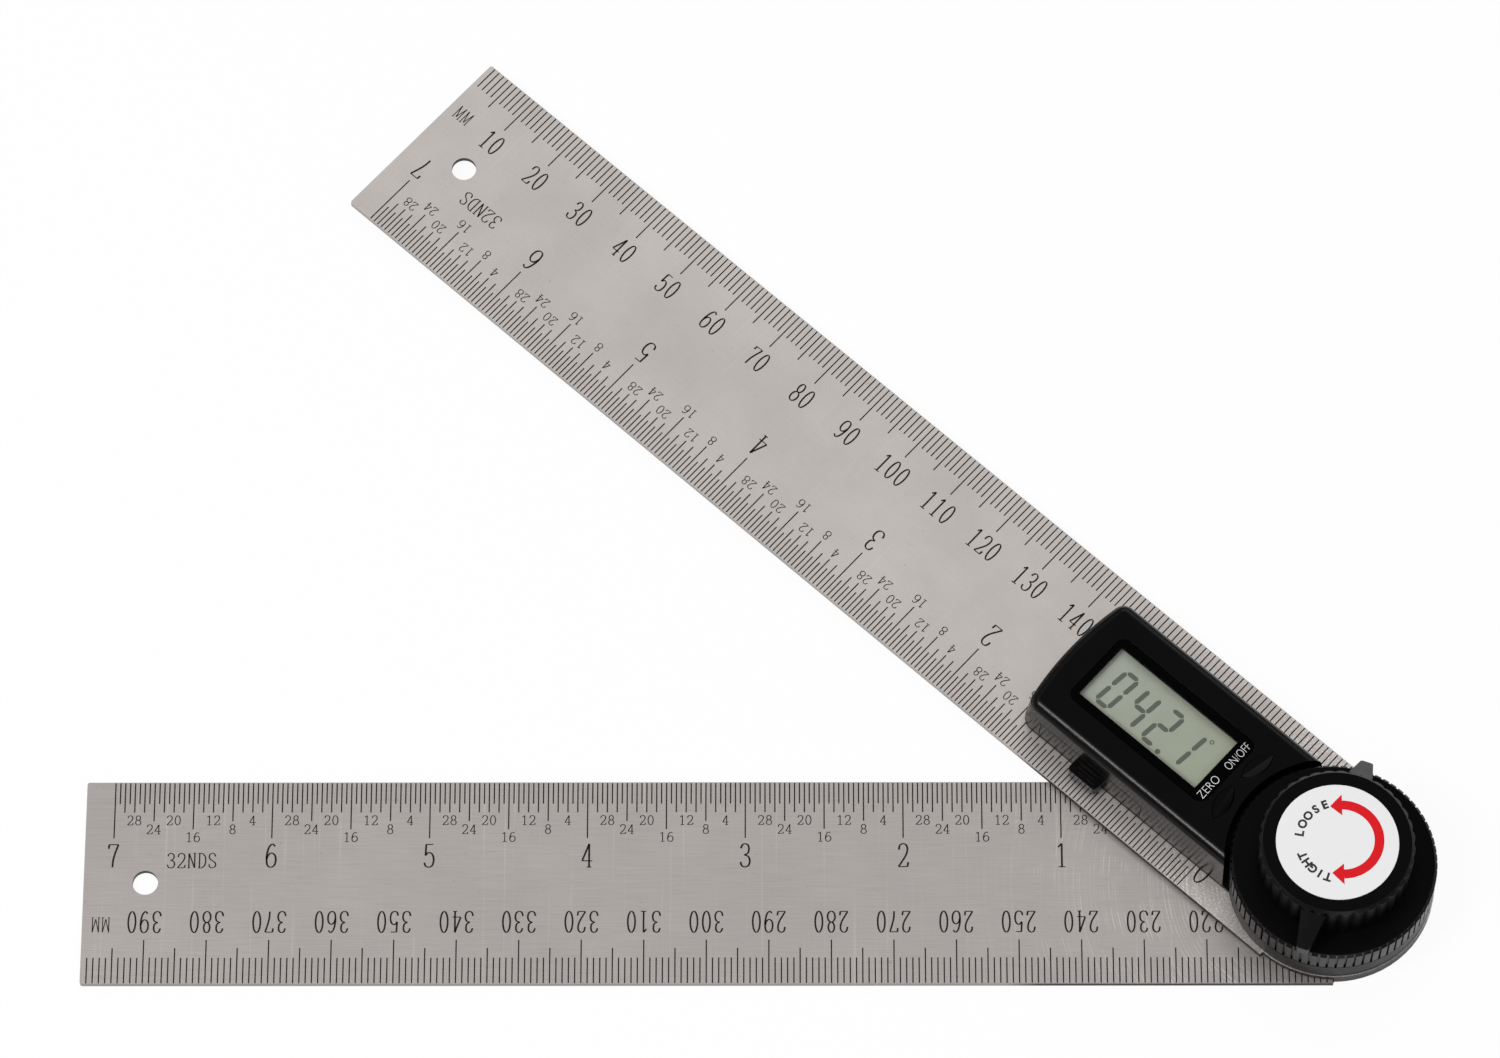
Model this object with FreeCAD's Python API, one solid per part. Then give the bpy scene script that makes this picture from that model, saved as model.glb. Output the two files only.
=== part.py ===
import FreeCAD, Part
import os
from math import asin, cos, pi, radians, sin, sqrt

# Digital protractor: two steel rules on one pivot, with a display housing on the upper rule.
#
# All lengths are millimetres. The origin lies on the pivot axis at the underside of the lower
# rule, +Z is up, and the lower rule points along -X. The upper arm is drawn in that same
# direction, in arm coordinates, and is turned to its open angle when it is written.

V = FreeCAD.Vector
UP = V(0, 0, 1)
ORIGIN = V(0, 0, 0)

os.makedirs("parts", exist_ok=True)

# Driving dimensions of the rules
OPEN_ANGLE = 42.1
BLADE_LENGTH = 200.0
BLADE_WIDTH = 34.6
BLADE_THICKNESS = 1.0
BLADE_ROUND_RADIUS = 16.7
BLADE_CORNER_RADIUS = 0.4
HANG_HOLE_RADIUS = 2.05
HANG_HOLE_FROM_TIP = 9.9
SLIP_THICKNESS = 0.2

# Driving dimensions of the pivot
HUB_RADIUS = 7.5
HUB_NECK_RADIUS = 4.4
HUB_NECK_FLAT = 3.6
HUB_SHOULDER_DROP = 0.6
STUD_RADIUS = 2.5
STUD_HEX_FLATS = 8.0
STUD_HEX_HEIGHT = 2.0
STUD_CHAMFER = 0.5
STUD_END_GAP = 0.8
SCREW_CIRCLE_RADIUS = 5.8
HUB_SCREW_COUNT = 3
RUNNING_FIT = 0.05
SCREW_FIT = 0.02
SLIDE_GAP = 0.1
FACE_GAP = 0.2

# Length used only while shapes are cut: how far a tool runs past a face
CUT = 1.0

# Driving dimensions of the sensor tray and the grip disc
DISC_RADIUS = 16.5
DISC_HEIGHT = 4.5
DISC_TOP_THICKNESS = 1.6
DISC_EDGE_BREAK = 0.45
RIB_COUNT = 72
RIB_GROOVE_WIDTH = 0.4
RIB_GROOVE_DEPTH = 0.35
TRAY_HEIGHT = 3.6
TRAY_WALL = 1.1
CLAMP_RING_WIDTH = 1.3
CLAMP_RING_HEIGHT = 3.4
FRICTION_THICKNESS = 0.2
BOARD_THICKNESS = 0.8
SENSOR_GAP = 0.3
SENSOR_LEDGE = 0.7
ROTOR_SIDE_GAP = 0.6
FOOT_WIDTH = 1.2

# Driving dimensions of the housing
HOUSING_HEIGHT = 8.2
HOUSING_SIDE_ROOM = 2.7
HOUSING_END_ROOM = 5.45
HOUSING_CORNER_RADIUS = 2.9
HOUSING_LEAN = 0.88
HOUSING_EDGE_ROUND = 1.75
HOUSING_TO_DISC_GAP = 0.95
WALL = 0.9
FLOOR = 0.6
SKIN = 1.3
NECK_HALF_WIDTH = 8.0
TONGUE_HALF_WIDTH = 5.0
TONGUE_LENGTH = 6.55

# Driving dimensions of the display
LENS_FROM_INNER_END = 4.55
LENS_FROM_END = 6.2
LENS_FROM_SIDE = 5.85
LENS_THICKNESS = 0.8
LENS_RECESS = 0.1
LENS_CORNER_RADIUS = 1.5
LENS_FIT = 0.12
BORDER_AT_ENDS = 3.7
BORDER_AT_SIDES = 3.0
WINDOW_SHIFT = 0.8
PANEL_LAP_LENGTH = 2.6
PANEL_LAP_WIDTH = 1.9
PANEL_THICKNESS = 0.9
PANEL_GAP = 0.1
FRAME_RIM = 0.35
ZEBRA_WIDTH = 1.2
ZEBRA_HEIGHT = 0.35

# Driving dimensions of the buttons
BUTTON_FROM_INNER_END = 2.6
BUTTON_SPREAD = 12.0
BUTTON_HALF_CHORD = 3.2
BUTTON_BULGE = 1.3
BUTTON_SLOPE_DROP = 0.7
BUTTON_PROUD = 0.15
BUTTON_TRAVEL = 0.4
BUTTON_FLANGE = 0.35
BUTTON_FLANGE_THICKNESS = 0.5
SWITCH_SIZE = 3.0
SWITCH_STEM_RADIUS = 0.8

# Driving dimensions of the battery and its tray
CELL_RADIUS = 10.0
CELL_THICKNESS = 3.2
CELL_CAP_RADIUS = 8.6
CELL_CAP_STEP = 0.27
CELL_CENTRE_Y = -0.2
TRAY_FLOOR = 0.4
TRAY_RAIL = 0.55
TRAY_REACH = 4.0
TAB_HALF_WIDTH = 2.9
TAB_REACH = 14.7
TAB_HEIGHT = 1.9
TAB_CORNER_RADIUS = 0.7
TAB_GROOVES = 3
TAB_GROOVE_HALF_LENGTH = 2.0
TAB_GROOVE_WIDTH = 0.2
TAB_GROOVE_PITCH = 0.65
CONTACT_THICKNESS = 0.12
CONTACT_WIDTH = 6.0
CHIP_SIZE = 3.8
CHIP_ROOM = 0.975
CONNECTOR_SLOTS = 6

# Driving dimensions of the screws
HOUSING_SCREW_RADIUS = 0.8
HUB_SCREW_RADIUS = 1.0
SCREW_HEAD_RATIO = 1.8
CROSS_REACH_RATIO = 0.9
CROSS_HALF_WIDTH_RATIO = 0.2
CROSS_DEPTH_RATIO = 0.6
BOSS_RADIUS = 1.5
HOUSING_SCREW_LENGTH = 6.0
HUB_SCREW_LENGTH = 3.6
SCREW_FROM_SIDE = 4.0
SCREW_FROM_INNER_END = 9.55
SCREW_FROM_END = 2.2

# Driving dimensions of the locking knob
KNOB_RADIUS = 12.4
KNOB_HEIGHT = 7.8
KNOB_LOBES = 36
KNOB_LOBE_DEPTH = 0.4
KNOB_EDGE_BREAK = 0.6
KNOB_SKIRT = 1.3
KNOB_CAVITY_DEPTH = 5.6
KNOB_RIBS = 6
KNOB_RIB_THICKNESS = 1.0
KNOB_BOSS_RADIUS = 5.4
KNOB_CLEARANCE = 0.3
INSERT_RADIUS = 4.0
INSERT_HEIGHT = 6.0
LABEL_RADIUS = 9.75
LABEL_THICKNESS = 0.25
LABEL_RIM_HEIGHT = 0.1
WING_ANGLE = 70.5
WING_REACH = 16.9
WING_TIP_WIDTH = 2.0
WING_TIP_ROUND = 0.5
WING_ROOT_WIDTH = 4.2
WING_TIP_HEIGHT = 1.9
WING_ROOT_DROP = 0.9
THRUST_RADIUS = 6.3
THRUST_THICKNESS = 0.8
WAVE_OUTER_RADIUS = 6.0
WAVE_INNER_RADIUS = 4.9
WAVE_HEIGHT = 0.5
WAVE_METAL = 0.2
WAVE_COUNT = 3
WAVE_SECTIONS = 24

# Heights that follow from the driving dimensions
SLIP_TOP = BLADE_THICKNESS + SLIP_THICKNESS
UPPER_TOP = SLIP_TOP + BLADE_THICKNESS
FLOOR_TOP = UPPER_TOP + FLOOR
TRAY_TOP = UPPER_TOP + TRAY_HEIGHT
CLAMP_TOP = UPPER_TOP + CLAMP_RING_HEIGHT
CLAMP_FACE = CLAMP_TOP + FRICTION_THICKNESS
DISC_BOTTOM = TRAY_TOP + FACE_GAP
DISC_TOP = DISC_BOTTOM + DISC_HEIGHT
STATOR_BOTTOM = FLOOR_TOP + SENSOR_LEDGE
STATOR_TOP = STATOR_BOTTOM + BOARD_THICKNESS
ROTOR_BOTTOM = STATOR_TOP + SENSOR_GAP
ROTOR_TOP = ROTOR_BOTTOM + BOARD_THICKNESS
THRUST_SEAT = DISC_TOP + FACE_GAP - THRUST_THICKNESS - WAVE_HEIGHT
WAVE_TOP = THRUST_SEAT + WAVE_HEIGHT
THRUST_TOP = WAVE_TOP + THRUST_THICKNESS
HUB_SHOULDER = CLAMP_FACE - HUB_SHOULDER_DROP
HUB_TOP = THRUST_SEAT - FACE_GAP
KNOB_BOTTOM = DISC_TOP + KNOB_CLEARANCE
KNOB_TOP = KNOB_BOTTOM + KNOB_HEIGHT
HOUSING_TOP = UPPER_TOP + HOUSING_HEIGHT
SKIN_BOTTOM = HOUSING_TOP - SKIN
LENS_TOP = HOUSING_TOP - LENS_RECESS
LENS_BOTTOM = LENS_TOP - LENS_THICKNESS
PANEL_TOP = SKIN_BOTTOM - PANEL_GAP
PANEL_BOTTOM = PANEL_TOP - PANEL_THICKNESS
BOARD_TOP = PANEL_BOTTOM - ZEBRA_HEIGHT
BOARD_BOTTOM = BOARD_TOP - BOARD_THICKNESS
TRAY_FLOOR_BOTTOM = FLOOR_TOP + RUNNING_FIT
CELL_BOTTOM = TRAY_FLOOR_BOTTOM + TRAY_FLOOR
CELL_TOP = CELL_BOTTOM + CELL_THICKNESS

# Radii and lengths that follow from the driving dimensions
HALF_WIDTH = BLADE_WIDTH / 2
HUB_BORE = HUB_RADIUS + RUNNING_FIT
CLAMP_RING_INNER = HUB_BORE + RUNNING_FIT
CLAMP_RING_OUTER = CLAMP_RING_INNER + CLAMP_RING_WIDTH
TRAY_INNER = DISC_RADIUS - TRAY_WALL
HOUSING_INNER_END = DISC_RADIUS + HOUSING_TO_DISC_GAP
BUTTON_ORBIT = HOUSING_INNER_END + BUTTON_FROM_INNER_END
TONGUE_REACH = HOUSING_INNER_END + TONGUE_LENGTH
CELL_SPACE = CELL_RADIUS + SLIDE_GAP + TRAY_RAIL
CELL_CENTRE_X = -(TONGUE_REACH + CHIP_SIZE + 2 * CHIP_ROOM + CELL_SPACE)
HOUSING_END_RADIUS = -CELL_CENTRE_X + CELL_SPACE + HOUSING_END_ROOM
HOUSING_HALF_WIDTH = CELL_RADIUS + HOUSING_SIDE_ROOM
LENS_PIVOT_EDGE = HOUSING_INNER_END + LENS_FROM_INNER_END
LENS_LENGTH = HOUSING_END_RADIUS - LENS_FROM_END - LENS_PIVOT_EDGE
LENS_WIDTH = 2 * (HOUSING_HALF_WIDTH - LENS_FROM_SIDE)
LENS_CENTRE_X = -(LENS_PIVOT_EDGE + LENS_LENGTH / 2)
WINDOW_LENGTH = LENS_LENGTH - BORDER_AT_ENDS
WINDOW_WIDTH = LENS_WIDTH - BORDER_AT_SIDES
WINDOW_CENTRE = WINDOW_SHIFT - LENS_CENTRE_X
PANEL_LENGTH = WINDOW_LENGTH + PANEL_LAP_LENGTH
PANEL_WIDTH = WINDOW_WIDTH + PANEL_LAP_WIDTH
STUD_BORE = STUD_RADIUS + RUNNING_FIT
LABEL_SEAT_RADIUS = LABEL_RADIUS + SLIDE_GAP
LABEL_SEAT = KNOB_TOP - LABEL_THICKNESS - LABEL_RIM_HEIGHT
INSERT_TOP = THRUST_TOP + INSERT_HEIGHT
ROTOR_INNER = CLAMP_RING_OUTER + ROTOR_SIDE_GAP
ROTOR_OUTER = TRAY_INNER - 2 * FACE_GAP
THRUST_RECESS_RADIUS = THRUST_RADIUS + FACE_GAP


def disc(radius, bottom, top, x=0.0, y=0.0):
    """Upright cylinder between two heights."""
    return Part.makeCylinder(radius, top - bottom, V(x, y, bottom), UP)


def ring(outer, inner, bottom, top):
    """Upright tube about the pivot axis."""
    return disc(outer, bottom, top).cut(disc(inner, bottom - CUT, top + CUT))


def block(x_low, x_high, y_low, y_high, bottom, top):
    """Box given by its limits along each axis."""
    return Part.makeBox(x_high - x_low, y_high - y_low, top - bottom, V(x_low, y_low, bottom))


def join(shapes):
    """One solid from several that meet."""
    return shapes[0].multiFuse(shapes[1:]).removeSplitter()


def polygon(points):
    """Closed wire through points."""
    return Part.makePolygon(points + points[:1])


def prism(wire, height):
    """Upright solid on a flat closed wire."""
    return Part.Face(wire).extrude(V(0, 0, height))


def upright_edges(shape):
    """Edges of a shape that stand upright."""
    edges = []
    for edge in shape.Edges:
        along = edge.tangentAt(edge.FirstParameter)
        if abs(along.z) > abs(along.x) + abs(along.y):
            edges.append(edge)
    return edges


def rounded_rectangle(x_centre, y_centre, length, width, radius, bottom, top):
    """Plate with round corners."""
    plate = block(x_centre - length / 2, x_centre + length / 2,
                  y_centre - width / 2, y_centre + width / 2, bottom, top)
    return plate.makeFillet(radius, upright_edges(plate))


def copies_about_pivot(shape, count, start=0.0):
    """Evenly spaced copies of a shape about the pivot axis."""
    copies = []
    for number in range(count):
        copy = shape.copy()
        copy.rotate(ORIGIN, UP, start + number * 360.0 / count)
        copies.append(copy)
    return copies


def at_open_angle(shape):
    """Turn a piece of the upper arm from arm coordinates to the open pose."""
    turned = shape.copy()
    turned.rotate(ORIGIN, UP, -OPEN_ANGLE)
    return turned


# Rules

def blade_outline(bottom):
    """Square-ended rule whose other end is round about the pivot axis."""
    tip = -BLADE_LENGTH
    strip = block(tip, 0, -HALF_WIDTH, HALF_WIDTH, bottom, bottom + BLADE_THICKNESS)
    corners = [edge for edge in upright_edges(strip) if edge.CenterOfMass.x < tip / 2]
    strip = strip.makeFillet(BLADE_CORNER_RADIUS, corners)
    blade = join([strip, disc(BLADE_ROUND_RADIUS, bottom, bottom + BLADE_THICKNESS)])
    hole_x = HANG_HOLE_FROM_TIP - BLADE_LENGTH
    return blade.cut(disc(HANG_HOLE_RADIUS, bottom - CUT, bottom + BLADE_THICKNESS + CUT, hole_x))


def countersink(radius, x, y, bottom, fit=0.0):
    """Space of a countersunk screw head whose flat face is at the given height."""
    head_radius = radius * SCREW_HEAD_RATIO + fit
    depth = head_radius - radius - fit
    return Part.makeCone(head_radius, radius + fit, depth, V(x, y, bottom), UP)


def countersunk_screw(radius, length, x, y, bottom):
    """Countersunk screw standing on its flat head, with a cross recess."""
    head = countersink(radius, x, y, bottom)
    shank = disc(radius, bottom, bottom + length, x, y)
    screw = join([head, shank])
    slot_reach = radius * CROSS_REACH_RATIO
    slot_half_width = radius * CROSS_HALF_WIDTH_RATIO
    slot_depth = radius * CROSS_DEPTH_RATIO
    for slot in (block(x - slot_reach, x + slot_reach, y - slot_half_width, y + slot_half_width,
                       bottom - CUT, bottom + slot_depth),
                 block(x - slot_half_width, x + slot_half_width, y - slot_reach, y + slot_reach,
                       bottom - CUT, bottom + slot_depth)):
        screw = screw.cut(slot)
    return screw


def screw_hole(radius, x, y, bottom, top):
    """Clearance hole with a countersink at its lower end."""
    shank = disc(radius + SCREW_FIT, bottom - CUT, top, x, y)
    return join([shank, countersink(radius, x, y, bottom, SCREW_FIT)])


def hub_screw_places():
    """Even places on the screw circle, one of them toward the tip."""
    angles = [pi + 2 * pi * number / HUB_SCREW_COUNT for number in range(HUB_SCREW_COUNT)]
    return [(SCREW_CIRCLE_RADIUS * cos(angle), SCREW_CIRCLE_RADIUS * sin(angle)) for angle in angles]


def housing_screw_places():
    """Four places: two beside the battery slot and two near the housing's far corners."""
    side = HOUSING_HALF_WIDTH - SCREW_FROM_SIDE
    near_x = -(HOUSING_INNER_END + SCREW_FROM_INNER_END)
    far_x = -sqrt((HOUSING_END_RADIUS - SCREW_FROM_END) ** 2 - side ** 2)
    return [(near_x, side), (near_x, -side), (far_x, side), (far_x, -side)]


def lower_blade():
    blade = blade_outline(0)
    for x, y in hub_screw_places():
        blade = blade.cut(screw_hole(HUB_SCREW_RADIUS, x, y, 0, BLADE_THICKNESS + CUT))
    return blade


def upper_blade():
    blade = blade_outline(SLIP_TOP).cut(disc(HUB_BORE, 0, UPPER_TOP + CUT))
    for x, y in housing_screw_places():
        blade = blade.cut(screw_hole(HOUSING_SCREW_RADIUS, x, y, SLIP_TOP, UPPER_TOP + CUT))
    return blade


def slip_washer():
    return ring(TRAY_INNER, HUB_BORE, BLADE_THICKNESS, SLIP_TOP)


# Pivot

def hexagon(flats, bottom, top):
    """Upright hexagonal bar about the pivot axis."""
    corner = flats / sqrt(3)
    points = [V(corner * cos(radians(60 * n)), corner * sin(radians(60 * n)), bottom) for n in range(6)]
    return prism(polygon(points), top - bottom)


def double_flat(radius, flat, bottom, top):
    """Round bar with two flats, which keys one piece to another."""
    return disc(radius, bottom, top).common(block(-radius, radius, -flat, flat, bottom, top))


def pivot_hub():
    """Turned hub: wide shoulder in the upper rule's bore and a keyed neck in the grip disc."""
    hub = join([disc(HUB_RADIUS, BLADE_THICKNESS, HUB_SHOULDER),
                double_flat(HUB_NECK_RADIUS, HUB_NECK_FLAT, HUB_SHOULDER, HUB_TOP)])
    hub = hub.cut(disc(STUD_BORE, 0, HUB_TOP + CUT))
    pocket_top = BLADE_THICKNESS + STUD_HEX_HEIGHT + RUNNING_FIT
    hub = hub.cut(hexagon(STUD_HEX_FLATS + SLIDE_GAP, 0, pocket_top))
    for x, y in hub_screw_places():
        hub = hub.cut(disc(HUB_SCREW_RADIUS + SCREW_FIT, 0, HUB_SCREW_LENGTH + FACE_GAP, x, y))
    return hub


def pivot_stud():
    """Stud with a hexagon head, which the hub traps against the lower rule."""
    stud_top = KNOB_BOTTOM + INSERT_HEIGHT - STUD_END_GAP
    shank = disc(STUD_RADIUS, BLADE_THICKNESS, stud_top)
    end = [edge for edge in shank.Edges if edge.CenterOfMass.z > stud_top - FACE_GAP]
    shank = shank.makeChamfer(STUD_CHAMFER, end[:1])
    return join([hexagon(STUD_HEX_FLATS, BLADE_THICKNESS, BLADE_THICKNESS + STUD_HEX_HEIGHT), shank])


def hub_screws():
    screws = [countersunk_screw(HUB_SCREW_RADIUS, HUB_SCREW_LENGTH, x, y, 0)
              for x, y in hub_screw_places()]
    return Part.makeCompound(screws)


def friction_washer():
    return ring(CLAMP_RING_OUTER, CLAMP_RING_INNER, CLAMP_TOP, CLAMP_FACE)


# Grip disc and sensor

def grip_disc():
    """Cup-shaped disc: ribbed rim, clamp boss on the friction washer, two feet for the rotor."""
    rim_inner = ROTOR_OUTER + FACE_GAP
    plate_bottom = DISC_TOP - DISC_TOP_THICKNESS
    body = disc(DISC_RADIUS, DISC_BOTTOM, DISC_TOP)
    top_edge = [edge for edge in body.Edges if edge.CenterOfMass.z > DISC_TOP - FACE_GAP]
    body = body.makeChamfer(DISC_EDGE_BREAK, top_edge[:1])
    body = body.cut(disc(rim_inner, DISC_BOTTOM - CUT, plate_bottom))
    boss = disc(CLAMP_RING_OUTER, CLAMP_FACE, plate_bottom)
    inner_foot = ring(ROTOR_INNER + FOOT_WIDTH, ROTOR_INNER, ROTOR_TOP, plate_bottom)
    outer_foot = ring(ROTOR_OUTER, ROTOR_OUTER - FOOT_WIDTH, ROTOR_TOP, plate_bottom)
    body = join([body, boss, inner_foot, outer_foot])
    body = body.cut(double_flat(HUB_NECK_RADIUS + RUNNING_FIT, HUB_NECK_FLAT + RUNNING_FIT,
                                0, DISC_TOP + CUT))
    body = body.cut(disc(THRUST_RECESS_RADIUS, THRUST_SEAT, DISC_TOP + CUT))
    groove = block(DISC_RADIUS - RIB_GROOVE_DEPTH, DISC_RADIUS + CUT,
                   -RIB_GROOVE_WIDTH / 2, RIB_GROOVE_WIDTH / 2,
                   DISC_BOTTOM - CUT, DISC_TOP + CUT)
    return body.cut(Part.makeCompound(copies_about_pivot(groove, RIB_COUNT)))


def rotor_board():
    return ring(ROTOR_OUTER, ROTOR_INNER, ROTOR_BOTTOM, ROTOR_TOP)


def stator_board():
    """Ring board in the tray with a tongue that reaches under the display board."""
    outer = TRAY_INNER - FACE_GAP
    board = join([disc(outer, STATOR_BOTTOM, STATOR_TOP),
                  block(-TONGUE_REACH, 0, -TONGUE_HALF_WIDTH, TONGUE_HALF_WIDTH,
                        STATOR_BOTTOM, STATOR_TOP)])
    return board.cut(disc(CLAMP_RING_OUTER + FACE_GAP, 0, DISC_TOP))


# Housing

def lean(height):
    """How far the walls lean in at a height above the upper rule."""
    return HOUSING_LEAN * (height - UPPER_TOP) / HOUSING_HEIGHT


def housing_wire(height, inset):
    """Outline of the housing: straight flanks, round corners and an arc about the pivot."""
    offset = lean(height) + inset
    side = HOUSING_HALF_WIDTH - offset
    end_radius = HOUSING_END_RADIUS - offset
    corner = HOUSING_CORNER_RADIUS - offset
    corner_angle = asin((side - corner) / (end_radius - corner))
    centre_x = -(end_radius - corner) * cos(corner_angle)
    centre_y = side - corner
    tip_x = -end_radius * cos(corner_angle)
    tip_y = end_radius * sin(corner_angle)
    mid_angle = (pi / 2 + pi - corner_angle) / 2
    mid_x = centre_x + corner * cos(mid_angle)
    mid_y = centre_y + corner * sin(mid_angle)

    def point(x, y):
        return V(x, y, height)

    edges = [
        Part.makeLine(point(0, side), point(centre_x, side)),
        Part.Arc(point(centre_x, side), point(mid_x, mid_y), point(tip_x, tip_y)).toShape(),
        Part.Arc(point(tip_x, tip_y), point(-end_radius, 0), point(tip_x, -tip_y)).toShape(),
        Part.Arc(point(tip_x, -tip_y), point(mid_x, -mid_y), point(centre_x, -side)).toShape(),
        Part.makeLine(point(centre_x, -side), point(0, -side)),
        Part.makeLine(point(0, -side), point(0, side)),
    ]
    return Part.Wire(edges)


def housing_solid(bottom, top, inset=0.0):
    """Solid with leaning walls inside the housing's outline, not yet cut for the grip disc."""
    return Part.makeLoft([housing_wire(bottom, inset), housing_wire(top, inset)], True, True)


def button_angles():
    """Directions of the zero and power buttons, one each side of the arm's centre line."""
    return {"zero_button": 180 + BUTTON_SPREAD, "power_button": 180 - BUTTON_SPREAD}


def button_outline(grow, bottom, top):
    """Lens-shaped prism on the +X axis at the buttons' distance from the pivot."""
    half_chord = BUTTON_HALF_CHORD + grow
    bulge = BUTTON_BULGE + grow
    low = V(BUTTON_ORBIT, -half_chord, bottom)
    high = V(BUTTON_ORBIT, half_chord, bottom)
    outer = Part.Arc(low, V(BUTTON_ORBIT + bulge, 0, bottom), high).toShape()
    inner = Part.Arc(high, V(BUTTON_ORBIT - bulge, 0, bottom), low).toShape()
    return prism(Part.Wire([outer, inner]), top - bottom)


def turned(shape, angle):
    copy = shape.copy()
    copy.rotate(ORIGIN, UP, angle)
    return copy


def battery_space(side_gap, bottom, top):
    """Block that the battery tray fills, open through the flank on the inch side."""
    reach = CELL_SPACE + side_gap
    return block(CELL_CENTRE_X - reach, CELL_CENTRE_X + reach, -2 * HALF_WIDTH, TRAY_REACH + side_gap,
                 bottom, top)


def housing_cover():
    """Top shell: leaning walls, rounded top edge, lens recess, button holes and screw bosses."""
    outer = housing_solid(FLOOR_TOP, HOUSING_TOP)
    top_edges = [edge for edge in outer.Edges
                 if abs(edge.BoundBox.ZMin - HOUSING_TOP) < FACE_GAP and edge.CenterOfMass.x < -CUT]
    outer = outer.makeFillet(HOUSING_EDGE_ROUND, top_edges)
    outer = outer.cut(disc(HOUSING_INNER_END, 0, HOUSING_TOP + CUT))
    cavity = housing_solid(UPPER_TOP, SKIN_BOTTOM, WALL)
    cavity = cavity.cut(disc(HOUSING_INNER_END + WALL, 0, HOUSING_TOP))
    bosses = [disc(BOSS_RADIUS, FLOOR_TOP, SKIN_BOTTOM, x, y) for x, y in housing_screw_places()]
    for boss in bosses:
        cavity = cavity.cut(boss)
    cover = outer.cut(cavity)
    lens_seat = rounded_rectangle(LENS_CENTRE_X, 0, LENS_LENGTH + 2 * LENS_FIT, LENS_WIDTH + 2 * LENS_FIT,
                                  LENS_CORNER_RADIUS + LENS_FIT, LENS_BOTTOM, HOUSING_TOP + CUT)
    window = block(-WINDOW_CENTRE - WINDOW_LENGTH / 2 - LENS_FIT,
                   -WINDOW_CENTRE + WINDOW_LENGTH / 2 + LENS_FIT,
                   -WINDOW_WIDTH / 2 - LENS_FIT, WINDOW_WIDTH / 2 + LENS_FIT,
                   SKIN_BOTTOM - CUT, HOUSING_TOP + CUT)
    cover = cover.cut(join([lens_seat, window]))
    for angle in button_angles().values():
        cover = cover.cut(turned(button_outline(SLIDE_GAP, SKIN_BOTTOM - CUT, HOUSING_TOP + CUT), angle))
    neck_cut = block(-HOUSING_INNER_END - 2 * WALL, 0, -NECK_HALF_WIDTH - RUNNING_FIT,
                     NECK_HALF_WIDTH + RUNNING_FIT, FLOOR_TOP - CUT, TRAY_TOP + RUNNING_FIT)
    cover = cover.cut(neck_cut)
    slot = battery_space(SLIDE_GAP, FLOOR_TOP - CUT, CELL_TOP + SLIDE_GAP)
    cover = cover.cut(slot.common(block(-BLADE_LENGTH, 0, -BLADE_WIDTH, CELL_CENTRE_Y, 0, HOUSING_TOP)))
    recess_y = CELL_CENTRE_Y + CELL_RADIUS + RUNNING_FIT
    recess_half = CONTACT_WIDTH / 2 + SLIDE_GAP
    cover = cover.cut(block(CELL_CENTRE_X - recess_half, CELL_CENTRE_X + recess_half,
                            0, recess_y + CONTACT_THICKNESS, FLOOR_TOP - CUT, BOARD_BOTTOM))
    for x, y in housing_screw_places():
        cover = cover.cut(disc(HOUSING_SCREW_RADIUS, 0, SLIP_TOP + HOUSING_SCREW_LENGTH + FACE_GAP, x, y))
    return cover


def housing_base():
    """Bottom shell: floor plate, round sensor tray with its clamp ring, and the board's neck."""
    floor = join([housing_solid(UPPER_TOP, FLOOR_TOP), disc(DISC_RADIUS, UPPER_TOP, FLOOR_TOP)])
    wall = ring(DISC_RADIUS, TRAY_INNER, UPPER_TOP, TRAY_TOP)
    clamp_ring = ring(CLAMP_RING_OUTER, CLAMP_RING_INNER, UPPER_TOP, CLAMP_TOP)
    ledge = ring(TRAY_INNER + CUT / 2, TRAY_INNER - CUT, UPPER_TOP, STATOR_BOTTOM)
    neck = block(-HOUSING_INNER_END - WALL, 0, -NECK_HALF_WIDTH, NECK_HALF_WIDTH, UPPER_TOP, TRAY_TOP)
    neck = neck.cut(disc(TRAY_INNER + CUT / 2, 0, HOUSING_TOP))
    base = join([floor, wall, clamp_ring, ledge, neck])
    tunnel = block(-TONGUE_REACH, -CLAMP_RING_OUTER - CUT, -TONGUE_HALF_WIDTH - SLIDE_GAP,
                   TONGUE_HALF_WIDTH + SLIDE_GAP, STATOR_BOTTOM, STATOR_TOP + FACE_GAP)
    base = base.cut(tunnel)
    base = base.cut(disc(CLAMP_RING_INNER, 0, HOUSING_TOP))
    for x, y in housing_screw_places():
        base = base.cut(disc(HOUSING_SCREW_RADIUS + SCREW_FIT, 0, FLOOR_TOP + CUT, x, y))
    return base


def housing_screws():
    screws = [countersunk_screw(HOUSING_SCREW_RADIUS, HOUSING_SCREW_LENGTH, x, y, SLIP_TOP)
              for x, y in housing_screw_places()]
    return Part.makeCompound(screws)


# Display

def display_lens():
    return rounded_rectangle(LENS_CENTRE_X, 0, LENS_LENGTH, LENS_WIDTH, LENS_CORNER_RADIUS,
                             LENS_BOTTOM, LENS_TOP)


def panel_limits(grow=0.0):
    """Limits of the display glass in x and y."""
    return (-WINDOW_CENTRE - PANEL_LENGTH / 2 - grow, -WINDOW_CENTRE + PANEL_LENGTH / 2 + grow,
            -PANEL_WIDTH / 2 - grow, PANEL_WIDTH / 2 + grow)


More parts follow.
